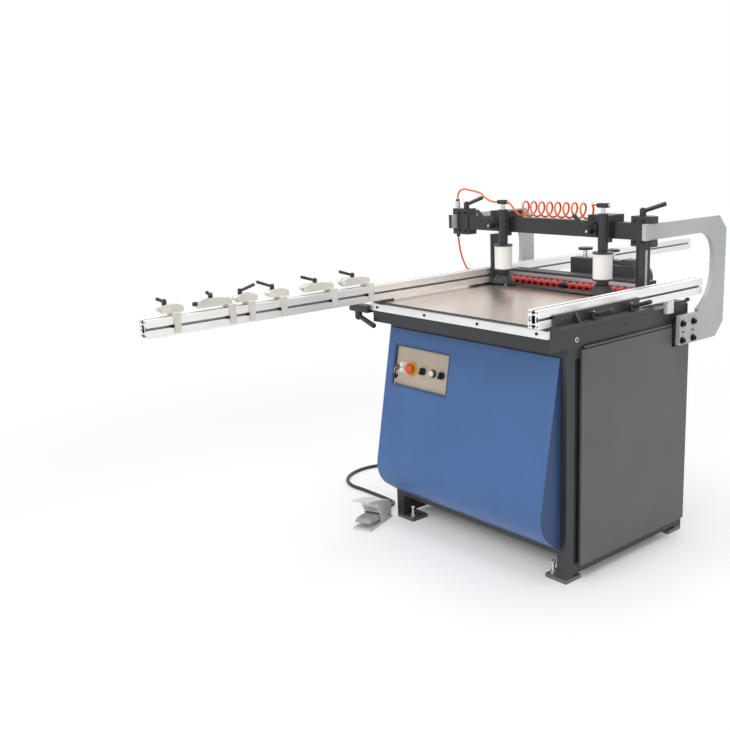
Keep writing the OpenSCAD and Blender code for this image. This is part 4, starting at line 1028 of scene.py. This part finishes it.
def add_keys():
    """A key in the switch, with a ring and a second key hanging from its bow."""
    key = key_bow(-19, ROW_Z, radius=11, half=1.1, edge=0.4, hole_z=ROW_Z, hole_r=2.6)
    blade = block((SWITCH_X - 1, -10, ROW_Z - 4), (SWITCH_X + 1, 3.5, ROW_Z + 4), 0.3)
    ring = hoop((SWITCH_X, RING_Y, ROW_Z - 11), 11.5, 0.8, (0, math.radians(90), 0))
    spare = key_bow(RING_Y, SPARE_Z, radius=10.5, half=1, edge=0.3, hole_z=SPARE_Z + 6.5, hole_r=2.8)
    shank = block((SWITCH_X - 0.9, RING_Y - 3.5, SPARE_Z - 33),
                  (SWITCH_X + 0.9, RING_Y + 3.5, SPARE_Z - 8), 0.3)
    for k in range(4):
        notch = SPARE_Z - 29 + 5 * k
        cut(shank, block((SWITCH_X - 2, RING_Y - 5, notch), (SWITCH_X + 2, RING_Y - 1.6, notch + 2)))
    for part, finish in ((key, BRASS), (blade, CHROME), (ring, CHROME), (spare, BLACK_PLASTIC),
                         (shank, CHROME)):
        tint(part, finish)
    on_panel(join(key, blade, ring, spare, shank), "keys", "main_switch")


def add_panel_fittings():
    """Corner screws, the selectors' white lines and the start button's bezel."""
    corner = [at((x, RECESS, z), FORWARD) for x in PANEL_SCREW_XS for z in PANEL_SCREW_ZS]
    on_panel(spread(cap_screw(3, 2, ZINC), corner), "panel_screws", "machine")
    for body, x in zip(("selector_left", "selector_right"), SELECTOR_XS):
        line = block((x - 0.9, -10.4, ROW_Z - 1), (x + 0.9, -9.9, ROW_Z + 11), 0.1)
        on_panel(tint(line, WHITE_PLASTIC), body + "_line", body)
    bezel = rod((START_X, 5, ROW_Z), (START_X, 9, ROW_Z), 15, 48, edge=0.8)
    cut(bezel, rod((START_X, 0, ROW_Z), (START_X, 20, ROW_Z), 11.6, 48))
    on_panel(tint(bezel, BLACK_PLASTIC), "start_bezel", "machine")


# Air fittings

COLLAR_H, LIP_H = 9, 2


def fitting(place, facing):
    """Push-in collar round a hose end."""
    collar = rod((0, 0, 0), (0, 0, COLLAR_H), 7.5, edge=0.8)
    lip = rod((0, 0, COLLAR_H), (0, 0, COLLAR_H + LIP_H), 6, edge=0.5)
    return spread(join(tint(collar, BLACK_PLASTIC), tint(lip, ZINC)), [at(place, facing)])


def add_fittings():
    for body, x in (("carriage_left", LEFT_HOLD), ("carriage_right", RIGHT_HOLD)):
        pair = [fitting((x + side * TEE_W, HOLD_Y, TEE_Z), (side, 0, 0)) for side in SIDES]
        mount(join(*pair), body + "_fittings", body)
    mount(join(fitting(HOSE_START, UP), fitting(SUPPLY_START, DOWN)), "beam_fittings", "beam")
    mount(fitting(SUPPLY_END, UP), "supply_fitting", "machine")


# Fences, with the shoes that carry them behind the table

SHOE_LOW, SHOE_TOP = 862, FENCE_Z - 0.3
OVERCUT = 1
END_HOLE_X, END_HOLE_Z, END_HOLE_R = 16, 22, 3


def add_rear_shoe():
    """Shoe under the right fence behind the table, with its clamp bracket."""
    shoe = block((441.5, 184, SHOE_LOW), (459.5, 222, SHOE_TOP), 1.2)
    cut(shoe, block((430, 190, 855), (450, 216, 882)))
    bracket = block((446, 222.2, 884), (458, 300, 897), 1.5)
    pick_faces(bracket, lambda middle, normal: normal.y > FACING)
    draw_out((0, 14, 6))
    draw_out((0, 10, 1))
    leave()
    round_edges(bracket, 1)
    mount(join(tint(shoe, WHITE_BARREL), tint(bracket, BLACK_PLASTIC)), "rear_shoe", "machine")


def add_left_shoe():
    """Dark shoe under the left fence behind the table, clear of the apron and bearing block."""
    shoe = block((-416, 136, SHOE_LOW), (-368, 190, SHOE_TOP), 1.5)
    cut(shoe, block((-420, 130, 855), (-396, 196, 884)))
    cut(shoe, block((-420, 159.5, 855), (-360, 196, 878.4)))
    mount(tint(shoe, BLACK_PLASTIC), "left_shoe", "machine")


def slot_cuts(half):
    """Corners of the undercuts and mouths of two opposite slots, outwards and across."""
    for near, far, width in ((half - SLOT_D, half - SLOT_LIP, SLOT_IN_W),
                             (half - SLOT_D / 2, half + OVERCUT, SLOT_W)):
        for low, high in ((near, far), (-far, -near)):
            yield (low, -width / 2), (high, width / 2)


def fence_bar(x, front, back):
    """Bar with four slots, and the hollow and screw holes of its front end."""
    start = front - OVERCUT
    bar = block((x - FENCE_W / 2, front, FENCE_Z), (x + FENCE_W / 2, back, FENCE_Z + FENCE_H))
    beside = list(slot_cuts(FENCE_W / 2))
    over = [(low[::-1], high[::-1]) for low, high in slot_cuts(FENCE_H / 2)]
    for (x0, z0), (x1, z1) in beside + over:
        cut(bar, block((x + x0, start, FENCE_MID + z0), (x + x1, back + OVERCUT, FENCE_MID + z1)))
    cut(bar, block((x - CORE_W / 2, start, FENCE_MID - CORE_H / 2),
                   (x + CORE_W / 2, front + CORE_L, FENCE_MID + CORE_H / 2)))
    for hole_x in (x - END_HOLE_X, x + END_HOLE_X):
        for hole_z in (FENCE_MID - END_HOLE_Z, FENCE_MID + END_HOLE_Z):
            cut(bar, rod((hole_x, start, hole_z), (hole_x, front + CORE_L, hole_z), END_HOLE_R, 16))
    return bar


def add_fences():
    for name, (x, front, back) in FENCES.items():
        bar = mount(fence_bar(x, front, back), name, "machine")
        finish_faces(bar.data, FENCE_ALU, *FENCE_RULES)
        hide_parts("fence_profiles")


# Chuck tips and trim

TIP_R, TIP_L = 7.5, 5
TABLE_BACK, TABLE_TOP = 128, 900
STRIP_HALF, STRIP_BACK, STRIP_LOW = 334, 150, 888
TRIM_XS = ((-449.5, -440.2), (440.2, 449.5))
TRIM_FRONT, TRIM_BACK, TRIM_LOW, TRIM_TOP = -264, 228, 811, 819.5


def add_chuck_tips():
    """Dark tip round the bore of each chuck."""
    tip = rod((0, NOSE_Y - TIP_L, 0), (0, NOSE_Y - HAIR, 0), TIP_R, edge=0.8)
    bore = rod((0, NOSE_Y - 2 * TIP_L, 0), (0, NOSE_Y + TIP_L, 0), SHANK_R, 24)
    tint(cut(tip, bore), CHUCK_BLACK)
    for k in range(SPINDLES):
        copy = copy_at(tip, Matrix.Translation(Vector((spindle_x(k), 0, SPINDLE_Z)) * MM))
        mount(copy, spindle(k) + "_tip", spindle(k))
    bpy.data.objects.remove(tip)


def add_table_strip():
    """Steel strip behind the table's back edge, under the chucks."""
    strip = block((-STRIP_HALF, TABLE_BACK + 0.2, STRIP_LOW), (STRIP_HALF, STRIP_BACK, TABLE_TOP), 0.4)
    finish_faces(strip.data, TABLE_STEEL, (TABLE_EDGE, off_top))
    mount(strip, "table_strip", "machine")


def add_side_trims():
    """Pale ledge between the apron and each side panel."""
    trims = [block((low, TRIM_FRONT, TRIM_LOW), (high, TRIM_BACK, TRIM_TOP), 1.5)
             for low, high in TRIM_XS]
    mount(tint(join(*trims), PANEL_GREY), "side_trims", "machine")


# Cable boots

BOOTS = {"gland_boot": slice(8, 22), "pedal_boot": slice(None, -15, -1)}
BOOT_THICK, BOOT_THIN = 4.6, 0.8


def add_boots():
    """Tapered sleeves where the pedal's cable leaves its gland and enters the pedal."""
    for name, part in BOOTS.items():
        boot = add_tube(name, CABLE_LINE[part], MM, CABLE_BLACK, 5)
        points = boot.data.splines[0].points
        for k, point in enumerate(points):
            thin = k / (len(points) - 1)
            point.radius = CABLE_R + BOOT_THICK - (BOOT_THICK - BOOT_THIN) * thin
        boot = to_mesh(boot)
        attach(boot, "machine")


# Pedal fittings, modelled in the pedal's frame

PEDAL = Matrix.Translation(PEDAL_AT * MM) @ Matrix.Rotation(PEDAL_TURN, 4, "Z")
HOOD_FOOT = Vector((0, -2, 47))
HOOD_LEAN = math.atan2(24, 45)
GROOVE_HALF, GROOVE_H, GROOVE_ZS = 33, 3, (12, 22)
RIB_HALF, RIB_W, RIB_YS = 29, 2.6, range(-66, -31, 6)
RIB_LOW, RIB_TOP = 41.6, 43.2
PEDAL_PIN_X, PEDAL_PIN_Y, PEDAL_PIN_Z = 39, 58, 20


def on_pedal(piece, name, body):
    piece.data.transform(PEDAL)
    return mount(piece, name, body)


def add_pedal_fittings():
    """Black strips as the painted shade of grooves across the hood's front, the treadle's ribs and the
    screws of its pin.
    """
    lean = Matrix.Translation(HOOD_FOOT * MM) @ Matrix.Rotation(HOOD_LEAN, 4, "X")
    # Thin black strips on the hood stand in for the shade in its grooves.
    grooves = [block((-GROOVE_HALF, -0.25, z), (GROOVE_HALF, 0.4, z + GROOVE_H), 0.2)
               for z in GROOVE_ZS]
    for groove in grooves:
        groove.data.transform(lean)
    on_pedal(tint(join(*grooves), BLACK_RUBBER), "hood_groove_shade_strips", "machine")
    ribs = [block((-RIB_HALF, y, RIB_LOW), (RIB_HALF, y + RIB_W, RIB_TOP), 0.5) for y in RIB_YS]
    on_pedal(tint(join(*ribs), TREADLE_GREY), "treadle_ribs", "pedal_treadle")
    screws = [at((side * PEDAL_PIN_X, PEDAL_PIN_Y, PEDAL_PIN_Z), (side, 0, 0)) for side in SIDES]
    on_pedal(spread(cap_screw(5, 2.4, PIN_RED), screws), "pin_screws", "machine")


add_levelling_bolts()
add_side_bolts()
add_lever_screws()
add_stop_screws()
add_keys()
add_panel_fittings()
add_fittings()
add_rear_shoe()
add_left_shoe()
add_fences()
add_chuck_tips()
add_table_strip()
add_side_trims()
add_boots()
add_pedal_fittings()


# Stage

FLOOR_SIZE, FLOOR_DROP = 60, 0.001
FLOOR_NEAR, FLOOR_FAR = 1.1, 3.4
FLOOR_PAINTED_GLOW = 0.42
UNDER_X, UNDER_Y, UNDER_EDGE = 0.36, 0.14, 0.2


def add_floor():
    """Pale floor that keeps the shadow near the machine, lightened by a painted glow outside the
    machine's footprint, and runs out into white.
    """
    deselect()
    bpy.ops.mesh.primitive_plane_add(size=FLOOR_SIZE, location=(0, 0, -FLOOR_DROP))
    floor = bpy.context.object
    floor.name = "floor"
    finish = Finish("floor_white", Base_Color=(0.93, 0.93, 0.925), Roughness=0.7)
    spot = finish.spot()
    reach = finish.node("ShaderNodeVectorMath", {"operation": "LENGTH"}, {0: spot}, output="Value")
    across, along = [
        finish.node("ShaderNodeMath", {"operation": "ABSOLUTE"}, {
            0: finish.node("ShaderNodeSeparateXYZ", {}, {0: spot}, output=axis)})
        for axis in ("X", "Y")]
    beside = finish.node("ShaderNodeMath", {"operation": "MAXIMUM"},
                         {0: across - UNDER_X, 1: along - UNDER_Y})
    # Camera rays see a painted glow of white: none over the machine's footprint, a part of it just
    # outside, which lightens the shadow there, and all of it far away.
    painted_glow_near = finish.ease(beside, 0.0, UNDER_EDGE, FLOOR_PAINTED_GLOW)
    fade = finish.ease(reach, FLOOR_NEAR, FLOOR_FAR, 1 - FLOOR_PAINTED_GLOW)
    white = finish.node("ShaderNodeEmission", {}, {"Color": (1.0, 1.0, 1.0), "Strength": 1.0})
    lit = Wire(finish, finish.shader.outputs[0])
    shown = finish.node("ShaderNodeMixShader", {},
                        {0: (painted_glow_near + fade) * finish.seen(), 1: lit, 2: white})
    finish.feed(finish.tree.nodes["Material Output"].inputs["Surface"], shown)
    floor.data.materials.append(finish.material)


WORLD_LIGHT = 0.3
# Name, place, aim, size and power of each lamp
LAMPS = (("top", (0.2, -0.4, 4.4), (0.0, 0.0, 0.8), 3.4, 145),
         ("front", (-0.8, -4.4, 2.6), (0.0, 0.0, 0.6), 2.6, 64),
         ("right", (4.4, -0.8, 2.2), (0.2, 0.0, 0.6), 2.2, 30),
         ("back", (-0.5, 3.8, 3.0), (0.0, 0.3, 0.9), 2.4, 45))


def add_lights():
    """White surround and plain soft lamps."""
    world = bpy.data.worlds.new("surround")
    scene.world = world
    world.use_nodes = True
    surround = Graph(world.node_tree)
    strength = surround.seen() * (1 - WORLD_LIGHT) + WORLD_LIGHT
    back = world.node_tree.nodes["Background"]
    surround.feed(back.inputs["Color"], (1.0, 1.0, 1.0))
    surround.feed(back.inputs["Strength"], strength)
    for name, place, aim, size, power in LAMPS:
        lamp = bpy.data.lights.new(name, "AREA")
        lamp.size = size
        lamp.energy = power
        holder = bpy.data.objects.new(name, lamp)
        holder.location = place
        holder.rotation_euler = (Vector(aim) - Vector(place)).to_track_quat("-Z", "Y").to_euler()
        scene.collection.objects.link(holder)


add_floor()
add_lights()
